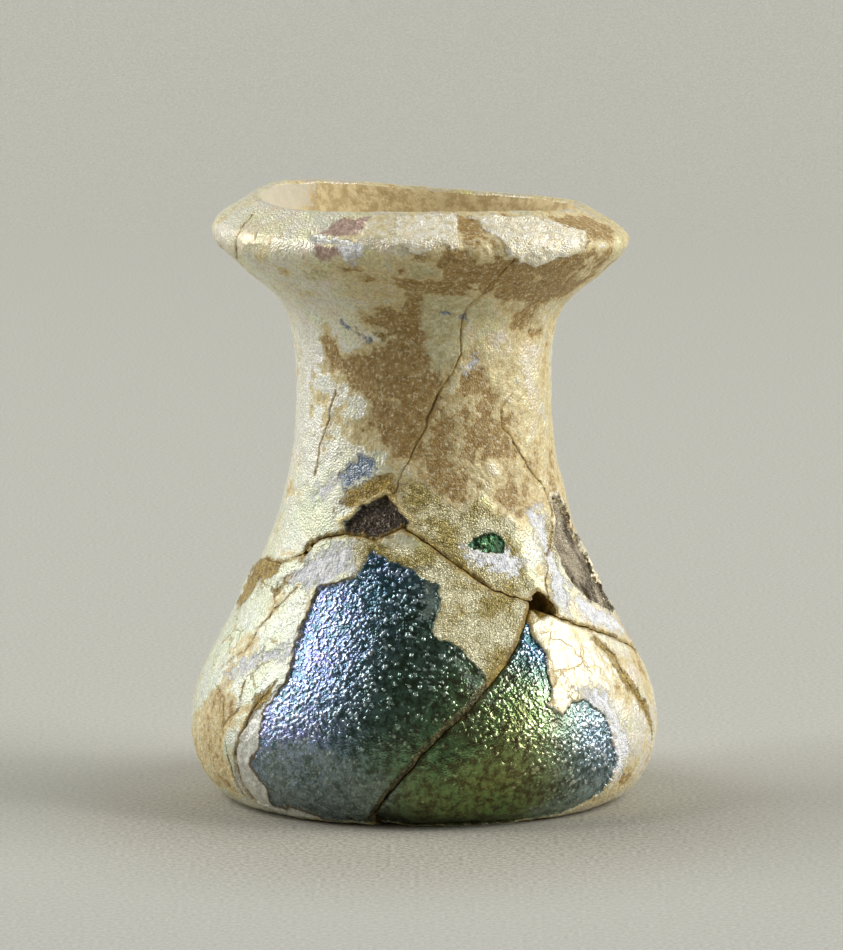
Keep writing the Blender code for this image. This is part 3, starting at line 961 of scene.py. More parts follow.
def knobs(points, cell, widest, seed, sparse, hollow):
    """Height from 0 to 1 of round knobs or rings, one in each cell of a loose lattice or in few of them."""
    own = np.floor(points / cell).astype(np.int64)
    highest = np.zeros(len(points))
    for step in itertools.product((-1, 0, 1), repeat=3):
        at = own + np.array(step)
        middle = np.stack([at[:, i] + hashed(at, seed + i) for i in range(3)], axis=1) * cell
        radius = widest * (SMALLEST_KNOB + (1 - SMALLEST_KNOB) * hashed(at, seed + 5))
        away = np.sqrt(((points - middle) ** 2).sum(axis=1)) / radius
        there = eased((hashed(at, seed + 7) - sparse) / SCARCE_EDGE + 1)
        shape = ridge(away, *BUBBLE_RING) if hollow else 1 - away ** 2
        highest = np.maximum(highest, shape * there)
    return highest


def clumped(table, azimuth, along, clumps, gain, less, clumping):
    """A blended amount from 0 to 1, gathered in clumps."""
    return eased(blended(table, azimuth, along)[:, 0] * gain - less + clumping * clumps)


def wear(points, azimuth, along, shown):
    """How worn the crust is, from below 0 where it is sound to over 1 in its lowest layer."""
    worn = blended(WORN, azimuth, along)[:, 0]
    for name, level in WORN_IN_PATCH.items():
        worn += (level - worn) * ramp(shown[name], -WORN_PATCH_EDGE, WORN_PATCH_EDGE)
    patchily = WORN_PATCHILY
    for name, more in MORE_PATCHY.items():
        patchily = patchily + more * ramp(shown[name], -WORN_PATCH_EDGE, WORN_PATCH_EDGE)
    return worn + (patchily * rough_noise(points, *LEAVES) + FLECKS_WORN * rough_noise(points, *FLECKS))


def crust_relief(points, along, marks, lumps, ragged, crumbs):
    """How far the crust stands out, with its leaves, curled edges, grains and pits."""
    rippled = eased(1 - marks["worn"]) * rough_noise(points, *RIPPLES)
    crust = sum(high * part for high, part in zip(CRUST_HEIGHTS, (lumps, ragged, crumbs, rippled)))
    for edge in WORN_EDGES:
        into = marks["worn"] - edge
        crust -= WORN_STEP * ramp(into, -WORN_STEP_EDGE, WORN_STEP_EDGE)
        crust += WORN_CURL * WORN_STEP * ridge(into, *CURL_PLACE)
    for name, step in LAYER_STEPS.items():
        crust += step * ramp(marks[name], -LAYER_EDGE, LAYER_EDGE)
    for name, (high, full, kind) in ROUGH_FINISHES.items():
        crust += high * ramp(marks[name], 0, full) * rough_noise(points, *kind)
    crust += FLAKE_CURL * ridge(marks["bare"], *FLAKED_EDGE) * (1 + ragged)
    for name in ("loss", "slot"):
        crust += PIT_CURL * ridge(marks[name], *PIT_EDGE) * (1 + ragged)
        crust += PIT_FLOOR_HEIGHT * ramp(marks[name], *PIT_FLOOR) * rough_noise(points, *PIT_LUMPS)
    return crust + RIM_LUMP_HEIGHT * ridge(along, rim_along, RIM_REACH) * rough_noise(points, *RIM_LUMPS)


def glass_relief(points, azimuth, along, marks, lumps, ragged):
    """The height of the knobs from 0 to 1, and how far the bare glass stands out with them."""
    clumps = rough_noise(points, *KNOB_CLUMPS)
    knobbly = clumped(KNOBS, azimuth, along, clumps, *KNOBBLY)
    knobbly *= 1 - UNDER_VEIL * ramp(marks["veil"], *VEIL_EDGE)
    glassy = marks["bare"] > GLASSY
    sparse = MOST_SCARCE * clumped(SPARSE, azimuth, along, clumps, *SCARCE)[glassy]
    warp = np.stack([rough_noise(points[glassy], *kind) for kind in KNOB_WARPS], axis=1)
    warped = points[glassy] + KNOB_WARP * warp
    beads = knobs(warped, KNOB_CELL, KNOB_RADIUS, seed=151, sparse=sparse, hollow=False)
    bubbles = knobs(warped, BUBBLE_CELL, BUBBLE_RADIUS, seed=241, sparse=BUBBLE_SCARCITY, hollow=True)
    bubbles *= np.clip(sparse * 2, 0, 1) * knobbly[glassy] ** 2
    shown, gapped = BUBBLE_SHOWN
    bubbles *= np.clip(shown + gapped * noise(points[glassy], BUBBLE_GAPS, seed=341), 0, 1)
    high = np.zeros(len(azimuth))
    high[glassy] = np.maximum(beads, bubbles) * knobbly[glassy]
    glass = -CRUST_THICKNESS + GLASS_LUMP_HEIGHT * lumps + KNOB_HEIGHT * high
    glass += GLASS_WAVE_HEIGHT * rough_noise(points, *GLASS_WAVES)
    glass += GLASS_DENT_HEIGHT * (1 - knobbly) * rough_noise(points, *GLASS_DENTS)
    for spot, size in SWIRLS:
        place = on_outside([spot])
        across = (about(place, azimuth) - place[0, 0]) * round_scale(along)
        away = np.hypot(across, along - place[0, 1]) / size + SWIRL_STRAY * ragged
        for out, rise in SWIRL_RIDGES:
            glass += rise * ridge(away, out, SWIRL_WIDTH)
    return high, glass


def weathering(azimuth, along, patches, bare, cracks):
    """A sherd's finishes as distances in mm, and how far its surface stands out from the turned form."""
    points = turned_out(azimuth, *section(along, 0.0)[:2])
    lumps, ragged, crumbs = (rough_noise(points, *kind) for kind in (LUMPS, RAGS, CRUMBS))
    stray = EDGE_STRAY[0] * ragged + EDGE_STRAY[1] * crumbs
    names = set(LAYER_STEPS) | set(WORN_IN_PATCH)
    shown = {name: into_patches(patches.get(name, []), azimuth, along) + stray for name in sorted(names)}
    marks = {name: shown[name] for name in LAYER_STEPS}
    marks["bare"] = into_patches(bare, azimuth, along) + stray
    marks["veil"] = into_patches(VEILS, azimuth, along) + 2 * stray
    wander = CRACK_WANDER * ragged
    marks["crack"] = from_cracks(cracks, azimuth + wander / round_scale(along), along + wander)
    marks["crack"] += CRACK_UNEVEN * lumps
    marks["crazed"] = blended(CRAZED, azimuth, along)[:, 0]
    marks["worn"] = wear(points, azimuth, along, shown)
    marks["knob"], glass = glass_relief(points, azimuth, along, marks, lumps, ragged)
    crust = crust_relief(points, along, marks, lumps, ragged, crumbs)
    standing = crust + (glass - crust) * ramp(marks["bare"], *BARE_EDGE)
    standing -= CRACK_DEPTH * np.clip(1 - marks["crack"] / CRACK_WIDTH, 0, 1)
    return marks, standing


# Finish of the outside
# The crust is chalky to pearly, in leafy layers of cream, tan and brown. The bare glass is dark
# green under a film a few wavelengths thick, which tints its reflections like a metal's.


def add_node(tree, kind, inputs=None, **settings):
    """Adds a shader node with its settings, its inputs set to values or linked to other sockets."""
    node = tree.nodes.new("ShaderNode" + kind)
    for name, value in settings.items():
        setattr(node, name, value)
    for name, value in (inputs or {}).items():
        if isinstance(value, bpy.types.NodeSocket):
            tree.links.new(value, node.inputs[name])
        else:
            node.inputs[name].default_value = value
    return node


def new_material(name):
    material = bpy.data.materials.new(name)
    material.use_nodes = True
    tree = material.node_tree
    return material, tree, tree.nodes["Principled BSDF"], add_node(tree, "TexCoord").outputs["Object"]


def frayed_edge(tree, fray, name, ragged, low, high, most=1.0):
    """How much of a finish shows: it climbs from low to high mm inside an edge that the fray tears."""
    mark = add_node(tree, "Attribute", attribute_name=name).outputs["Fac"]
    torn = add_node(tree, "Math", {0: fray, 1: ragged, 2: mark}, operation="MULTIPLY_ADD").outputs[0]
    start, end = low + ragged / 2, high + ragged / 2
    inputs = {"Value": torn, "From Min": start, "From Max": end, "To Min": 0.0, "To Max": most}
    if low > high:
        inputs.update({"From Min": end, "From Max": start, "To Min": most, "To Max": 0.0})
    return add_node(tree, "MapRange", inputs, interpolation_type="SMOOTHSTEP").outputs["Result"]


# Where each worn layer starts to show, its colour, second colour, metallic, roughness and grain in mm
WORN_LAYERS = [
    (WORN_EDGES[0], "#E0D2A6", "#CFBE8A", 0.14, 0.46, 0.030),
    (WORN_EDGES[1], "#C0A66C", "#D6C69A", 0.06, 0.56, 0.035),
    (WORN_EDGES[2], "#94743A", "#AE925C", 0.05, 0.58, 0.055),
]
# Colour, its second colour, metallic, roughness, grain, raggedness and softness of the edge in mm
FINISHES = {
    "grainy": ("#ECE6C2", "#AA9A5A", 0.45, 0.26, 0.160, 2.6, 0.40),
    "white": ("#FAF5E4", "#EADDB8", 0.18, 0.34, 0.080, 1.8, 0.06),
    "pale": ("#D6D0AC", "#BEB282", 0.15, 0.46, 0.030, 3.2, 0.30),
    "smooth": ("#F0E8D0", "#E4D4A4", 0.25, 0.32, 0.018, 0.6, 0.06),
    "gold": ("#B49A4E", "#7C6428", 0.35, 0.40, 0.100, 2.2, 0.20),
    "glitter": ("#FFFFFC", "#EAECF4", 0.0, 0.26, 0.100, 4.4, 0.45),
    "pink": ("#BEA292", "#A68A7A", 0.25, 0.40, 0.030, 1.2, 0.15),
    "blue": ("#A8B0BA", "#707E92", 0.55, 0.30, 0.090, 2.2, 0.18),
    "silver": ("#E4E4DA", "#C2C2BA", 0.45, 0.36, 0.024, 0.8, 0.06),
    "loss": ("#54463C", "#29211B", 0.45, 0.28, 0.140, 0.9, 0.06),
    "slot": ("#CEC0A6", "#54442E", 0.45, 0.24, 0.220, 2.8, 0.14),
}
# Size in mm, layers of finer noise and how rough those are
NOISES = {
    "fray": (0.7, 6.0, 0.65), "mottle": (0.6, 6.0, 0.68), "specks": (0.24, 4.0, 0.65),
    "lustre": (1.8, 3.0, 0.55), "clouds": (3.0, 4.0, 0.6), "dints": (0.6, 4.0, 0.6),
}
NOISE_MIDDLE = 0.5
GRAIN_SIZE = 0.16
GRAIN_LIGHT = 0.34
DARKEST_GRAIN = 0.83
DINT_DEPTH = 0.03
WORN_RAGGED = 1.1
WORN_SOFT = 0.10
STEP_IN_BUMP = 0.6
# The hue and the depth of colour that the crust and the film start from
CRUST_HUE = 0.405
CRUST_COLOUR = 0.55
FILM_HUE = 0.415
# Metallic, roughness and grain in mm
CRUST_VALUES = (0.30, 0.33, 0.050)
STAIN_VALUES = (0.20, 0.42, 0.070)
FILM_VALUES = (0.88, 0.17, 0.028)
VEIL_VALUES = (0.25, 0.38, 0.040)
# The crazing's cells, the lumps that warp them and how far, and its depth, in mm
CRAZE_CELL = 2.4
CRAZE_LUMP = 1.1
CRAZE_WARP = 1.3
CRAZE_DEPTH = 0.05
CRAZE_EDGE = (0.004, 0.030)
CRAZED_FROM = (0.88, 1.10)
KNOB_FRAY = 0.4
FIBRE_WIDTH = (0.002, 0.009)
LEAST_GAPING = 0.5
GLASS_IOR = 1.5

skin_material, tree, shader, spots = new_material("crust_and_rainbow_film_on_glass")
noises = {}
for name, (size, detail, rough) in NOISES.items():
    inputs = {"Vector": spots, "Scale": 1 / (size * MM), "Detail": detail, "Roughness": rough}
    noises[name] = add_node(tree, "TexNoise", inputs).outputs["Fac"]
fray = noises["fray"]
patchy = {}
for name, source, low, high in (
    ("mottled", "mottle", 0.38, 0.62), ("speckled", "specks", 0.52, 0.64), ("clouded", "clouds", 0.40, 0.60),
):
    inputs = {"Value": noises[source], "From Min": low, "From Max": high}
    patchy[name] = add_node(tree, "MapRange", inputs, interpolation_type="SMOOTHSTEP").outputs["Result"]
grains = add_node(tree, "TexVoronoi", {"Vector": spots, "Scale": 1 / (GRAIN_SIZE * MM)})
each_grain = add_node(tree, "SeparateColor", {0: grains.outputs["Color"]}).outputs

# The sound crust, pearly, with its hue and depth of colour drifting from grain to grain
drift, depth = CRUST_HUE, CRUST_COLOUR
for source, share in ((each_grain[1], 0.03), (noises["lustre"], 0.16)):
    drift = add_node(tree, "Math", {0: source, 1: share, 2: drift}, operation="MULTIPLY_ADD").outputs[0]
for source, share in ((patchy["clouded"], 0.5), (each_grain[2], 0.4)):
    depth = add_node(tree, "Math", {0: source, 1: share, 2: depth}, operation="MULTIPLY_ADD").outputs[0]
colour = add_node(tree, "Attribute", attribute_name="crust").outputs["Color"]
colour = add_node(tree, "HueSaturation", {"Hue": drift, "Saturation": depth, "Color": colour}).outputs[0]
values = CRUST_VALUES
height = add_node(tree, "Math", {0: noises["dints"], 1: DINT_DEPTH}, operation="MULTIPLY").outputs[0]

# The worn layers and the other finishes, each laid over the one before
laid = [("worn", WORN_RAGGED, edge, WORN_SOFT, *layer, 0.0) for edge, *layer in WORN_LAYERS]
laid += [(name, row[5], 0.0, row[6], *row[:5], LAYER_STEPS[name]) for name, row in FINISHES.items()]
for name, ragged, edge, soft, first, second, metallic, roughness, coarse, step in laid:
    share = frayed_edge(tree, fray, name, ragged, edge - soft, edge + soft)
    patch = "clouded" if name in ("grainy", "slot") else "mottled"
    inputs = {0: patchy[patch], 6: linear(first), 7: linear(second)}
    tint = add_node(tree, "Mix", inputs, data_type="RGBA").outputs[2]
    colour = add_node(tree, "Mix", {0: share, 6: colour, 7: tint}, data_type="RGBA").outputs[2]
    inputs = {0: share, 4: values, 5: (metallic, roughness, coarse)}
    values = add_node(tree, "Mix", inputs, data_type="VECTOR").outputs[1]
    inputs = {0: share, 1: step * STEP_IN_BUMP, 2: height}
    height = add_node(tree, "Math", inputs, operation="MULTIPLY_ADD").outputs[0]

# Crazing: the edges of warped cells, where the crust has shrunk and parted
inputs = {"Vector": spots, "Scale": 1 / (CRAZE_LUMP * MM), "Detail": 3.0}
warp = add_node(tree, "TexNoise", inputs).outputs["Color"]
inputs = {0: warp, 1: (CRAZE_WARP * MM,) * 3, 2: spots}
warped = add_node(tree, "VectorMath", inputs, operation="MULTIPLY_ADD").outputs[0]
inputs = {"Vector": warped, "Scale": 1 / (CRAZE_CELL * MM)}
cell_edge = add_node(tree, "TexVoronoi", inputs, feature="DISTANCE_TO_EDGE").outputs["Distance"]
low, high = CRAZE_EDGE
inputs = {"Value": cell_edge, "From Min": low, "From Max": high, "To Min": 1.0, "To Max": 0.0}
crazing = add_node(tree, "MapRange", inputs, interpolation_type="SMOOTHSTEP").outputs["Result"]
crazed = add_node(tree, "Attribute", attribute_name="crazed").outputs["Fac"]
crazed = add_node(tree, "Math", {0: crazed, 1: noises["clouds"]}, operation="ADD").outputs[0]
low, high = CRAZED_FROM
inputs = {"Value": crazed, "From Min": low, "From Max": high, "To Min": 0.0, "To Max": 0.7}
crazed = add_node(tree, "MapRange", inputs, interpolation_type="SMOOTHSTEP").outputs["Result"]
crazing = add_node(tree, "Math", {0: crazing, 1: crazed}, operation="MULTIPLY").outputs[0]
inputs = {0: crazing, 1: -CRAZE_DEPTH, 2: height}
height = add_node(tree, "Math", inputs, operation="MULTIPLY_ADD").outputs[0]

# Specks, the pale sides of the pits, crazing, and painted shade on the crust's brown side over the glass
worn = add_node(tree, "Attribute", attribute_name="worn").outputs["Fac"]
inputs = {"Value": worn, "From Min": 0.3, "From Max": 1.0, "To Min": 0.25, "To Max": 0.65}
flecked = add_node(tree, "MapRange", inputs).outputs["Result"]
pale_specks = add_node(tree, "Math", {0: patchy["speckled"], 1: flecked}, operation="MULTIPLY").outputs[0]
# Painted shade in part: the crust's side beside the bare glass is dark brown, left of the front patch only
shaded_crust_side = frayed_edge(tree, fray, "bare", ragged=0.35, low=-0.30, high=-0.12)
crust_side_shade = add_node(tree, "Attribute", attribute_name="crust_side_shade").outputs["Fac"]
shaded_crust_side = add_node(tree, "Math", {0: shaded_crust_side, 1: crust_side_shade}, operation="MULTIPLY").outputs[0]
pit_sides = []
for name in ("loss", "slot"):
    outer = frayed_edge(tree, fray, name, ragged=0.7, low=-0.52, high=-0.40, most=0.85)
    inner = frayed_edge(tree, fray, name, ragged=0.7, low=-0.12, high=-0.02)
    between = add_node(tree, "Math", {0: outer, 1: inner}, operation="SUBTRACT", use_clamp=True)
    pit_sides.append(between.outputs[0])
for share, tint in (
    (pale_specks, "#E8DCB8"), (pit_sides[0], "#DCC88E"), (pit_sides[1], "#EEE4C4"), (crazing, "#A07C34"),
    (shaded_crust_side, "#54401E"),
):
    colour = add_node(tree, "Mix", {0: share, 6: colour, 7: linear(tint)}, data_type="RGBA").outputs[2]

# The bare glass: rainbow film on its knobs and, as painted shade, darker in the gaps; dusty veils over it
film, gap_shade = (add_node(tree, "Attribute", attribute_name=name).outputs["Color"] for name in ("film", "gap_shade"))
knob = add_node(tree, "Attribute", attribute_name="knob").outputs["Fac"]
knob = add_node(tree, "Math", {0: fray, 1: KNOB_FRAY, 2: knob}, operation="MULTIPLY_ADD").outputs[0]
inputs = {"Value": knob, "From Min": 0.45, "From Max": 0.95}
knob = add_node(tree, "MapRange", inputs, interpolation_type="SMOOTHSTEP").outputs["Result"]
lit_gap = add_node(tree, "HueSaturation", {"Value": 1.3, "Color": gap_shade}).outputs[0]
ground = add_node(tree, "HueSaturation", {"Hue": 0.40, "Value": 0.42, "Color": gap_shade}).outputs[0]
ground = add_node(tree, "Mix", {0: patchy["mottled"], 6: lit_gap, 7: ground}, data_type="RGBA").outputs[2]
# Painted shade: the film is darker in the hollows between the knobs than on their tops
film = add_node(tree, "Mix", {0: knob, 6: ground, 7: film}, data_type="RGBA").outputs[2]
drift = FILM_HUE
for source, share in ((each_grain[1], 0.05), (noises["clouds"], 0.12)):
    drift = add_node(tree, "Math", {0: source, 1: share, 2: drift}, operation="MULTIPLY_ADD").outputs[0]
film = add_node(tree, "HueSaturation", {"Hue": drift, "Color": film}).outputs[0]
veil = frayed_edge(tree, fray, "veil", ragged=3.0, low=-0.25, high=0.25, most=0.75)
fibre = add_node(tree, "Math", {0: noises["lustre"], 1: NOISE_MIDDLE}, operation="SUBTRACT").outputs[0]
fibre = add_node(tree, "Math", {0: fibre}, operation="ABSOLUTE").outputs[0]
low, high = FIBRE_WIDTH
inputs = {"Value": fibre, "From Min": low, "From Max": high, "To Min": 0.35, "To Max": 0.0}
fibre = add_node(tree, "MapRange", inputs, interpolation_type="SMOOTHSTEP").outputs["Result"]
dust = gap_shade
cloudy = add_node(tree, "Math", {0: patchy["clouded"], 1: 0.4}, operation="MULTIPLY").outputs[0]
for share, tint in (
    (0.30, "#82988E"), (patchy["mottled"], "#44564C"), (cloudy, "#8C9A90"), (patchy["speckled"], "#A8AEA2"),
    (fibre, "#B8BAA6"),
):
    dust = add_node(tree, "Mix", {0: share, 6: dust, 7: linear(tint)}, data_type="RGBA").outputs[2]
film = add_node(tree, "Mix", {0: veil, 6: film, 7: dust}, data_type="RGBA").outputs[2]
film_values = add_node(tree, "Mix", {0: veil, 4: FILM_VALUES, 5: VEIL_VALUES}, data_type="VECTOR").outputs[1]
bare = frayed_edge(tree, fray, "bare", ragged=0.35, low=-0.04, high=0.04)
colour = add_node(tree, "Mix", {0: bare, 6: colour, 7: film}, data_type="RGBA").outputs[2]
values = add_node(tree, "Mix", {0: bare, 4: values, 5: film_values}, data_type="VECTOR").outputs[1]

# Old stain along the breaks, golden on the crust and dark olive on the glass, and in the cracks. On the
# glass the olive band is partly painted shade, widest on the worn slope that runs down to the front break
stain_and_shade_tints = []
for first, second in (("#BA9E50", "#6E5624"), ("#6E6440", "#26281A")):
    inputs = {0: patchy["mottled"], 6: linear(first), 7: linear(second)}
    stain_and_shade_tints.append(add_node(tree, "Mix", inputs, data_type="RGBA").outputs[2])
# Painted shade in part: the dark olive on the bare glass beside the breaks
stain = add_node(tree, "Mix", {0: bare, 6: stain_and_shade_tints[0], 7: stain_and_shade_tints[1]}, data_type="RGBA").outputs[2]
stain = add_node(tree, "Mix", {0: pale_specks, 6: stain, 7: linear("#DCCA96")}, data_type="RGBA").outputs[2]
wide = frayed_edge(tree, fray, "break", ragged=1.0, low=0.42, high=0.08, most=0.92)
narrow = frayed_edge(tree, fray, "break", ragged=0.5, low=0.14, high=0.02, most=0.92)
stain_and_shade_share = add_node(tree, "Mix", {0: bare, 2: wide, 3: narrow}).outputs[0]
cracked = frayed_edge(tree, fray, "crack", ragged=0.3, low=0.10, high=0.02, most=0.9)
beside = frayed_edge(tree, fray, "crack", ragged=1.6, low=0.30, high=0.06, most=0.55)
inputs = {0: patchy["clouded"], 1: 1 - LEAST_GAPING, 2: LEAST_GAPING}
gaping = add_node(tree, "Math", inputs, operation="MULTIPLY_ADD").outputs[0]
cracked = add_node(tree, "Math", {0: cracked, 1: gaping}, operation="MULTIPLY").outputs[0]
for share, tint in ((stain_and_shade_share, stain), (beside, linear("#B89A54")), (cracked, linear("#543E18"))):
    colour = add_node(tree, "Mix", {0: share, 6: colour, 7: tint}, data_type="RGBA").outputs[2]
values = add_node(tree, "Mix", {0: stain_and_shade_share, 4: values, 5: STAIN_VALUES}, data_type="VECTOR").outputs[1]

# Every grain a little lighter or darker, and domed
inputs = {0: each_grain[0], 1: GRAIN_LIGHT, 2: DARKEST_GRAIN}
light = add_node(tree, "Math", inputs, operation="MULTIPLY_ADD").outputs[0]
colour = add_node(tree, "HueSaturation", {"Value": light, "Color": colour}).outputs[0]
metallic, roughness, coarse = add_node(tree, "SeparateXYZ", {0: values}).outputs
domed = add_node(tree, "Math", {0: grains.outputs["Distance"], 1: coarse}, operation="MULTIPLY").outputs[0]
height = add_node(tree, "Math", {0: height, 1: domed}, operation="SUBTRACT").outputs[0]
bump = add_node(tree, "Bump", {"Height": height, "Distance": MM, "Strength": 1.0}).outputs[0]
sockets = {"Base Color": colour, "Metallic": metallic, "Roughness": roughness, "Normal": bump}
for name, value in sockets.items():
    tree.links.new(value, shader.inputs[name])
shader.inputs["IOR"].default_value = GLASS_IOR

# Finish of the broken faces and of the inside
# The breaks are old, so the glass in them is stained olive and gold. The inside has an earthy film,
# but for a flake of pearly crust that laps over the lip at the left.

PEARL_MIDDLE = -110
PEARL_REACH = 25
PEARL_DEPTH = 4.5
PEARL_TINT = "#CFC8B4"
CHIPPED_EDGE = 0.3
CHIP_DEPTH = 0.13
CHIP_UNEVEN = 0.8
BREAK_LUMP = 0.7
BREAK_LUMP_HEIGHT = 0.08
# The inside's waves and dents: their size, seed and height in mm
INSIDE_NOISES = ((1.5, 171, 0.06), (0.6, 181, 0.04))
# How much painted shade darkens the crust's side, and between which azimuths it fades in
CRUST_SIDE_SHADE = 0.9
CRUST_SIDE_SHADE_FROM = (-18, -30)

# Material name, stain size in mm, its two colours, metallic, roughness, relief size and depth in mm
PLAIN_FINISHES = {
    "stained_break_in_glass": (0.7, "#A08038", "#54461E", 0.20, 0.42, 0.30, 0.06),
    "earth_film_inside_glass": (0.9, "#DAC694", "#B69E6C", 0.0, 0.75, 0.35, 0.12),
}
plain_materials = []
for name, (size, first, second, metallic, roughness, lump, deep) in PLAIN_FINISHES.items():
    material, tree, shader, spots = new_material(name)
    inputs = {"Vector": spots, "Scale": 1 / (size * MM), "Detail": 5.0, "Roughness": 0.68}
    stain = add_node(tree, "TexNoise", inputs).outputs["Fac"]
    pearly = frayed_edge(tree, stain, "pearl_inside", ragged=13.0, low=-0.5, high=0.5, most=0.8)
    inputs = {"Value": stain, "From Min": 0.40, "From Max": 0.60}
    stain = add_node(tree, "MapRange", inputs, interpolation_type="SMOOTHSTEP").outputs["Result"]
    inputs = {0: stain, 6: linear(first), 7: linear(second)}
    colour = add_node(tree, "Mix", inputs, data_type="RGBA").outputs[2]
    inputs = {0: pearly, 6: colour, 7: linear(PEARL_TINT)}
    colour = add_node(tree, "Mix", inputs, data_type="RGBA").outputs[2]
    inputs = {"Vector": spots, "Scale": 1 / (lump * MM), "Detail": 4.0, "Roughness": 0.65}
    lumpy = add_node(tree, "TexNoise", inputs).outputs["Fac"]
    bump = add_node(tree, "Bump", {"Height": lumpy, "Distance": deep * MM}).outputs[0]
    tree.links.new(colour, shader.inputs["Base Color"])
    tree.links.new(bump, shader.inputs["Normal"])
    shader.inputs["Metallic"].default_value = metallic
    shader.inputs["Roughness"].default_value = roughness
    shader.inputs["IOR"].default_value = GLASS_IOR
    plain_materials.append(material)


def face_finishes(shape):
    """Gives each face its material, and keeps the edges between two finishes sharp."""
    depth_layer = shape.verts.layers.float["depth"]
    along_layer = shape.verts.layers.float["along"]
    for face in shape.faces:
        depths = [v[depth_layer] for v in face.verts]
        at_lip = all(v[along_layer] > lip_along - SMALLEST for v in face.verts)
        if max(depths) == 0 or at_lip:
            face.material_index = 0
        elif min(depths) == 1:
            face.material_index = 2
        else:
            face.material_index = 1
        face.smooth = True
    for edge in shape.edges:
        finishes = {f.material_index for f in edge.link_faces}
        edge.smooth = len(finishes) == 1 or 1 not in finishes


def finish_sherd(name, shape, field, patches, bare, cracks, shift):
    """Lays the relief on a sherd, notes its finishes on its vertices, and makes it a piece."""
    face_finishes(shape)
    azimuth, along = places(shape)
    depth_layer = shape.verts.layers.float["depth"]
    depth = np.array([v[depth_layer] for v in shape.verts])
    into = np.maximum(field(azimuth, along)[0], 0)
    marks, standing = weathering(azimuth, along, patches, bare, cracks)
    radius, height, out, up = section(along, depth)
    points = turned_out(azimuth, radius, height)
    rough = noise(points, BREAK_LUMP, seed=161)
    chipped = np.clip(1 - into / CHIPPED_EDGE, 0, 1) ** 2
    standing -= CHIP_DEPTH * chipped * (1 + CHIP_UNEVEN * rough)
    # The break stain, partly painted shade on the glass, reaches further over the worn slope by the front
    # break
    moved, tints = shift(azimuth, along)
    marks["break"] = into - tints
    off_middle = (azimuth - PEARL_MIDDLE) / PEARL_REACH
    marks["pearl_inside"] = PEARL_DEPTH * (1 - off_middle ** 2) + along - lip_along
    # Painted shade on the crust's side: full left of the front patch, fading out towards its middle
    marks["crust_side_shade"] = CRUST_SIDE_SHADE * ramp(azimuth, *CRUST_SIDE_SHADE_FROM)
    standing += moved
    inner = sum(high * noise(points, size, seed) for size, seed, high in INSIDE_NOISES)
    lip = np.where(along > lip_along - SMALLEST, LIP_DOME * np.sin(np.pi * depth), 0)
    push = standing * (1 - depth) + inner * depth
    broken = np.where((depth > 0) & (depth < 1) & (lip == 0), BREAK_LUMP_HEIGHT * rough, 0)
    radius = radius + push * out + broken
    height = np.maximum(height + push * up + lip, 0)
    sideways, rise = blown_stray(azimuth, height)
    places_mm = turned_out(azimuth, radius, height + rise)
    places_mm[:, 0] += sideways
    mesh = bpy.data.meshes.new(name)
    shape.to_mesh(mesh)
    shape.free()
    mesh.vertices.foreach_set("co", (places_mm * MM).ravel())
    for label in ("along", "depth"):
        mesh.attributes.remove(mesh.attributes[label])
    for label, amounts in marks.items():
        mesh.attributes.new(label, "FLOAT", "POINT").data.foreach_set("value", amounts)
    for label, tints in (("crust", CRUST_TINTS), ("film", FILM_TINTS), ("gap_shade", GAP_SHADE_TINTS)):
        colours = blended([(linear(tint), spot, reach) for tint, spot, reach in tints], azimuth, along)
        mesh.attributes.new(label, "FLOAT_COLOR", "POINT").data.foreach_set("color", colours.ravel())
    for material in (skin_material, *plain_materials):
        mesh.materials.append(material)
    piece = bpy.data.objects.new(name, mesh)
    bpy.context.scene.collection.objects.link(piece)
    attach(piece, "root")
    return piece


# Neck and rim
# One sherd holds the whole neck and the folded rim. It was drawn out and flared by hand, and it is
# held on the shoulder by its fit on the two body sherds.

NECK_COLUMNS = 144
NECK_ROW_STEP = 0.68
BELOW_NECK_BREAK = 10.0
CRACK_RAGGEDNESS = 0.20
# Where the mesh is finer: at the front, down to just under the foot, and within reach of the cracks
FRONT_HALF = 92
UNDER_FOOT = 0.5
CRACK_REACH = 0.15


def front(azimuth, along):
    return (np.abs(azimuth) < FRONT_HALF) & (along > foot_along - UNDER_FOOT)


def by_cracks(cracks, field):
    """A test for the places where the surface has its sharpest edges, so that they get a finer mesh."""
    def test(azimuth, along):
        close = from_cracks(cracks, azimuth, along) < CRACK_REACH
        close |= np.abs(field(azimuth, along)[0]) < CRACK_REACH
        return close & front(azimuth, along)
    return test


def settled(azimuth, along):
    """The neck stands where it was, so nothing is moved or tinted."""
    return np.zeros(len(azimuth)), np.zeros(len(azimuth))


def ragged_cracks(routes, seed):
    return [ragged_route(on_outside(route), seed + i, CRACK_RAGGEDNESS) for i, route in enumerate(routes)]


neck_cracks = ragged_cracks(NECK_CRACKS, seed=300)
neck = blank(along_at(BELOW_NECK_BREAK), lip_along, NECK_COLUMNS, NECK_ROW_STEP)
cut_out(neck, neck_edge)
give_wall(neck)
refine(neck, neck_edge, front)
refine(neck, neck_edge, front)
refine(neck, neck_edge, by_cracks(neck_cracks, neck_edge))
neck_piece = finish_sherd("neck_sherd", neck, neck_edge, NECK_PATCHES, [GREEN_WINDOW], neck_cracks, settled)

# Body
# Two sherds make the bell and its foot. The one at the front right sits a little deeper than its
# neighbour across the long break down the front, and the other holds the left and the back.

BODY_COLUMNS = 180
SUNK = 0.35
SUNK_REACH = 3.0
STEP_DOWN = 0.5
STEP_WIDTH = 0.55
# The shoulder stands out round this azimuth, over this many degrees, and this far below the break
PROUD = 0.4
PROUD_MIDDLE = -82
PROUD_WIDTH = 24
PROUD_REACH = 3.0
KNOBBLY_ENOUGH = 0.28
BARE_ENOUGH = -0.1

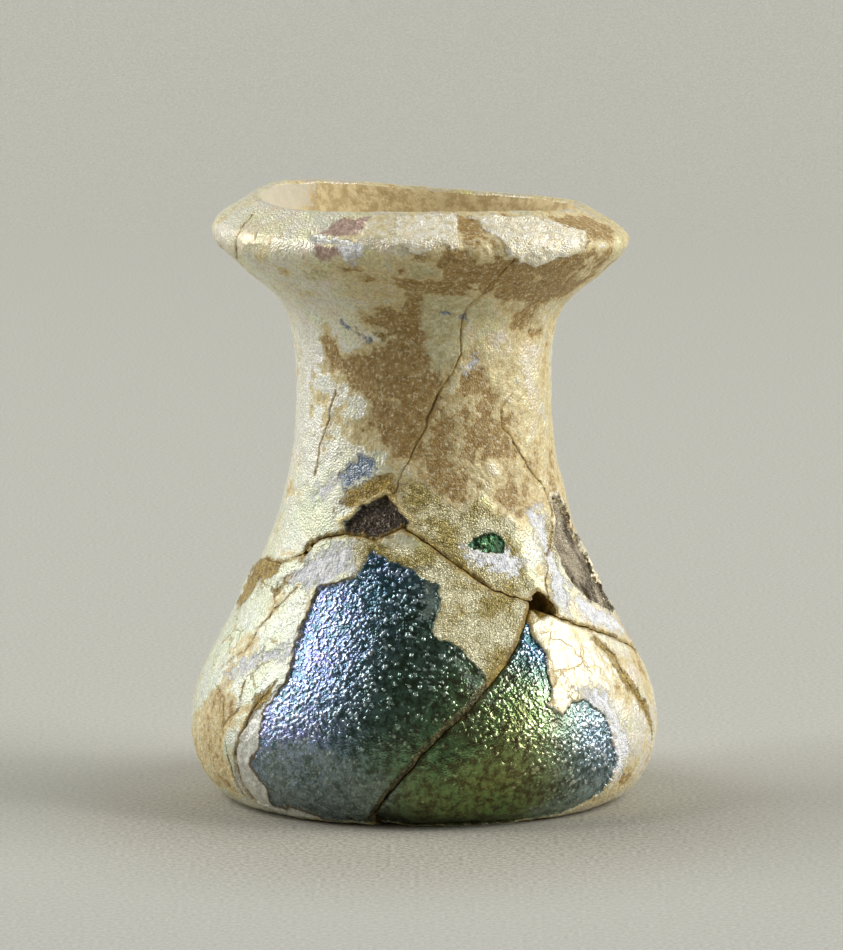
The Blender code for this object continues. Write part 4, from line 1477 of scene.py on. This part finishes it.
body_cracks = ragged_cracks(BODY_CRACKS, seed=400)


def sunk_by_break(azimuth, along):
    away = nearest_on(front_break, azimuth, along)[1]
    return -SUNK * eased(1 - away / SUNK_REACH), np.zeros(len(azimuth))


def proud_of_break(azimuth, along):
    """A worn slope down to the front break, and a shoulder that stands out under the neck at the left."""
    away = nearest_on(front_break, azimuth, along)[1]
    worn = np.clip(1 - away / STEP_WIDTH, 0, 1)
    below = nearest_on(neck_break, azimuth, along)[1]
    proud = PROUD * ridge(azimuth, PROUD_MIDDLE, PROUD_WIDTH) * eased(1 - below / PROUD_REACH)
    return -STEP_DOWN * worn + proud, np.where(worn > 0, STEP_WIDTH, 0)


def by_knobs(bare, cracks, field):
    """A test for the places that need the finest mesh: the knobbly glass, the cracks and the breaks."""
    def test(azimuth, along):
        knobbly = blended(KNOBS, azimuth, along)[:, 0] > KNOBBLY_ENOUGH
        knobbly &= (into_patches(bare, azimuth, along) > BARE_ENOUGH) & front(azimuth, along)
        return knobbly | by_cracks(cracks, field)(azimuth, along)
    return test


for name, field, bare, shift in (
    ("front_right_sherd", front_right_edge, [RIGHT_GLASS], sunk_by_break),
    ("left_and_back_sherd", left_and_back_edge, [FRONT_GLASS, BACK_GLASS], proud_of_break),
):
    sherd = blank(0.0, ABOVE_NECK_BREAK, BODY_COLUMNS, ROW_STEP)
    cut_out(sherd, field)
    give_wall(sherd)
    refine(sherd, field, front)
    refine(sherd, field, front)
    refine(sherd, field, by_knobs(bare, body_cracks, field))
    finish_sherd(name, sherd, field, BODY_PATCHES, bare, body_cracks, shift)

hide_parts("glass_jar")

# Paper sweep
# The jar stands on matt grey paper that curves up behind it with no horizon. Round the front of its foot
# the paper is painted darker and warmer, as the shade that falls there.

SWEEP_HALF_WIDTH = 0.9
SWEEP_FRONT = -0.9
SWEEP_BACK = 0.45
SWEEP_CURVE = 0.35
SWEEP_TOP = 0.9
SWEEP_STEPS = 12
TOOTH_SIZE = 0.35
TOOTH_SPREAD = (0.35, 0.65)
# Painted shade on the paper: its middle in front of the foot, and where it is full and where it has faded, in
# m
SHADE_NEAR_FOOT_SPOT = (0.0, -0.014, 0.0)
SHADE_NEAR_FOOT_REACH = (0.010, 0.036)
PAPER_ROUGHNESS = 0.9

sweep = bmesh.new()
line = [sweep.verts.new((-SWEEP_HALF_WIDTH, SWEEP_FRONT, 0))]
for step in range(SWEEP_STEPS + 1):
    turn = math.pi / 2 * step / SWEEP_STEPS
    across = SWEEP_BACK + SWEEP_CURVE * math.sin(turn)
    line.append(sweep.verts.new((-SWEEP_HALF_WIDTH, across, SWEEP_CURVE * (1 - math.cos(turn)))))
line.append(sweep.verts.new((-SWEEP_HALF_WIDTH, SWEEP_BACK + SWEEP_CURVE, SWEEP_TOP)))
edges = [sweep.edges.new(pair) for pair in zip(line, line[1:])]
pulled = bmesh.ops.extrude_edge_only(sweep, edges=edges)["geom"]
moved = [v for v in pulled if isinstance(v, bmesh.types.BMVert)]
bmesh.ops.translate(sweep, verts=moved, vec=(2 * SWEEP_HALF_WIDTH, 0, 0))
bmesh.ops.recalc_face_normals(sweep, faces=sweep.faces[:])
for face in sweep.faces:
    face.smooth = True
sweep_mesh = bpy.data.meshes.new("paper_sweep")
sweep.to_mesh(sweep_mesh)
sweep.free()
paper_material, tree, shader, spots = new_material("matt_grey_paper")
inputs = {"Vector": spots, "Scale": 1 / (TOOTH_SIZE * MM), "Detail": 4.0, "Roughness": 0.7}
tooth = add_node(tree, "TexNoise", inputs).outputs["Fac"]
inputs = {"Value": tooth, "From Min": TOOTH_SPREAD[0], "From Max": TOOTH_SPREAD[1]}
tooth = add_node(tree, "MapRange", inputs, interpolation_type="SMOOTHSTEP").outputs["Result"]
# Painted shade: the paper is darker and warmer near the front of the foot, fading out within a few
# centimetres
inputs = {0: spots, 1: SHADE_NEAR_FOOT_SPOT}
away = add_node(tree, "VectorMath", inputs, operation="DISTANCE").outputs["Value"]
inputs = {"Value": away, "From Min": SHADE_NEAR_FOOT_REACH[0], "From Max": SHADE_NEAR_FOOT_REACH[1], "To Min": 1.0, "To Max": 0.0}
painted_shade_near_foot = add_node(tree, "MapRange", inputs, interpolation_type="SMOOTHSTEP").outputs["Result"]
shades = []
for unshaded, shaded in (("#ABAAA1", "#8A8779"), ("#BEBDB4", "#B8B4A5")):
    inputs = {0: painted_shade_near_foot, 6: linear(unshaded), 7: linear(shaded)}
    shades.append(add_node(tree, "Mix", inputs, data_type="RGBA").outputs[2])
colour = add_node(tree, "Mix", {0: tooth, 6: shades[0], 7: shades[1]}, data_type="RGBA").outputs[2]
tree.links.new(colour, shader.inputs["Base Color"])
shader.inputs["Roughness"].default_value = PAPER_ROUGHNESS
sweep_mesh.materials.append(paper_material)
paper_sweep = bpy.data.objects.new("paper_sweep", sweep_mesh)
bpy.context.scene.collection.objects.link(paper_sweep)

# Studio light
# Two wide softboxes face each other across the jar, low at its left and right and a little behind it,
# so that their light grazes the front. A small bare lamp beside each strikes the sparkle on the film.

# Azimuth, rise in degrees, width, breadth and power
LAMPS = {
    "left_softbox": (-103, 30, 1.25, 1.0, 12.6),
    "right_softbox": (86, 28, 1.15, 0.95, 15.3),
    "left_bare_lamp": (-76, 50, 0.16, 0.16, 1.6),
    "right_bare_lamp": (78, 40, 0.16, 0.16, 1.6),
}
LAMP_DISTANCE = 1.2
ROOM_TINT = "#C8C8C4"
ROOM_LIGHT = 0.28

for name, (azimuth, rise, width, breadth, power) in LAMPS.items():
    lamp = bpy.data.lights.new(name, "AREA")
    lamp.shape = "RECTANGLE"
    lamp.size = width
    lamp.size_y = breadth
    lamp.energy = power
    holder = bpy.data.objects.new(name, lamp)
    turn, lift = math.radians(azimuth), math.radians(rise)
    way = Vector((math.sin(turn) * math.cos(lift), -math.cos(turn) * math.cos(lift), math.sin(lift)))
    holder.location = CAMERA_AIM + way * LAMP_DISTANCE
    holder.rotation_euler = way.to_track_quat("Z", "Y").to_euler()
    bpy.context.scene.collection.objects.link(holder)

room = bpy.data.worlds.new("dim_room")
room.use_nodes = True
room.node_tree.nodes["Background"].inputs["Color"].default_value = linear(ROOM_TINT)
room.node_tree.nodes["Background"].inputs["Strength"].default_value = ROOM_LIGHT
bpy.context.scene.world = room
bpy.context.scene.view_settings.view_transform = "Standard"
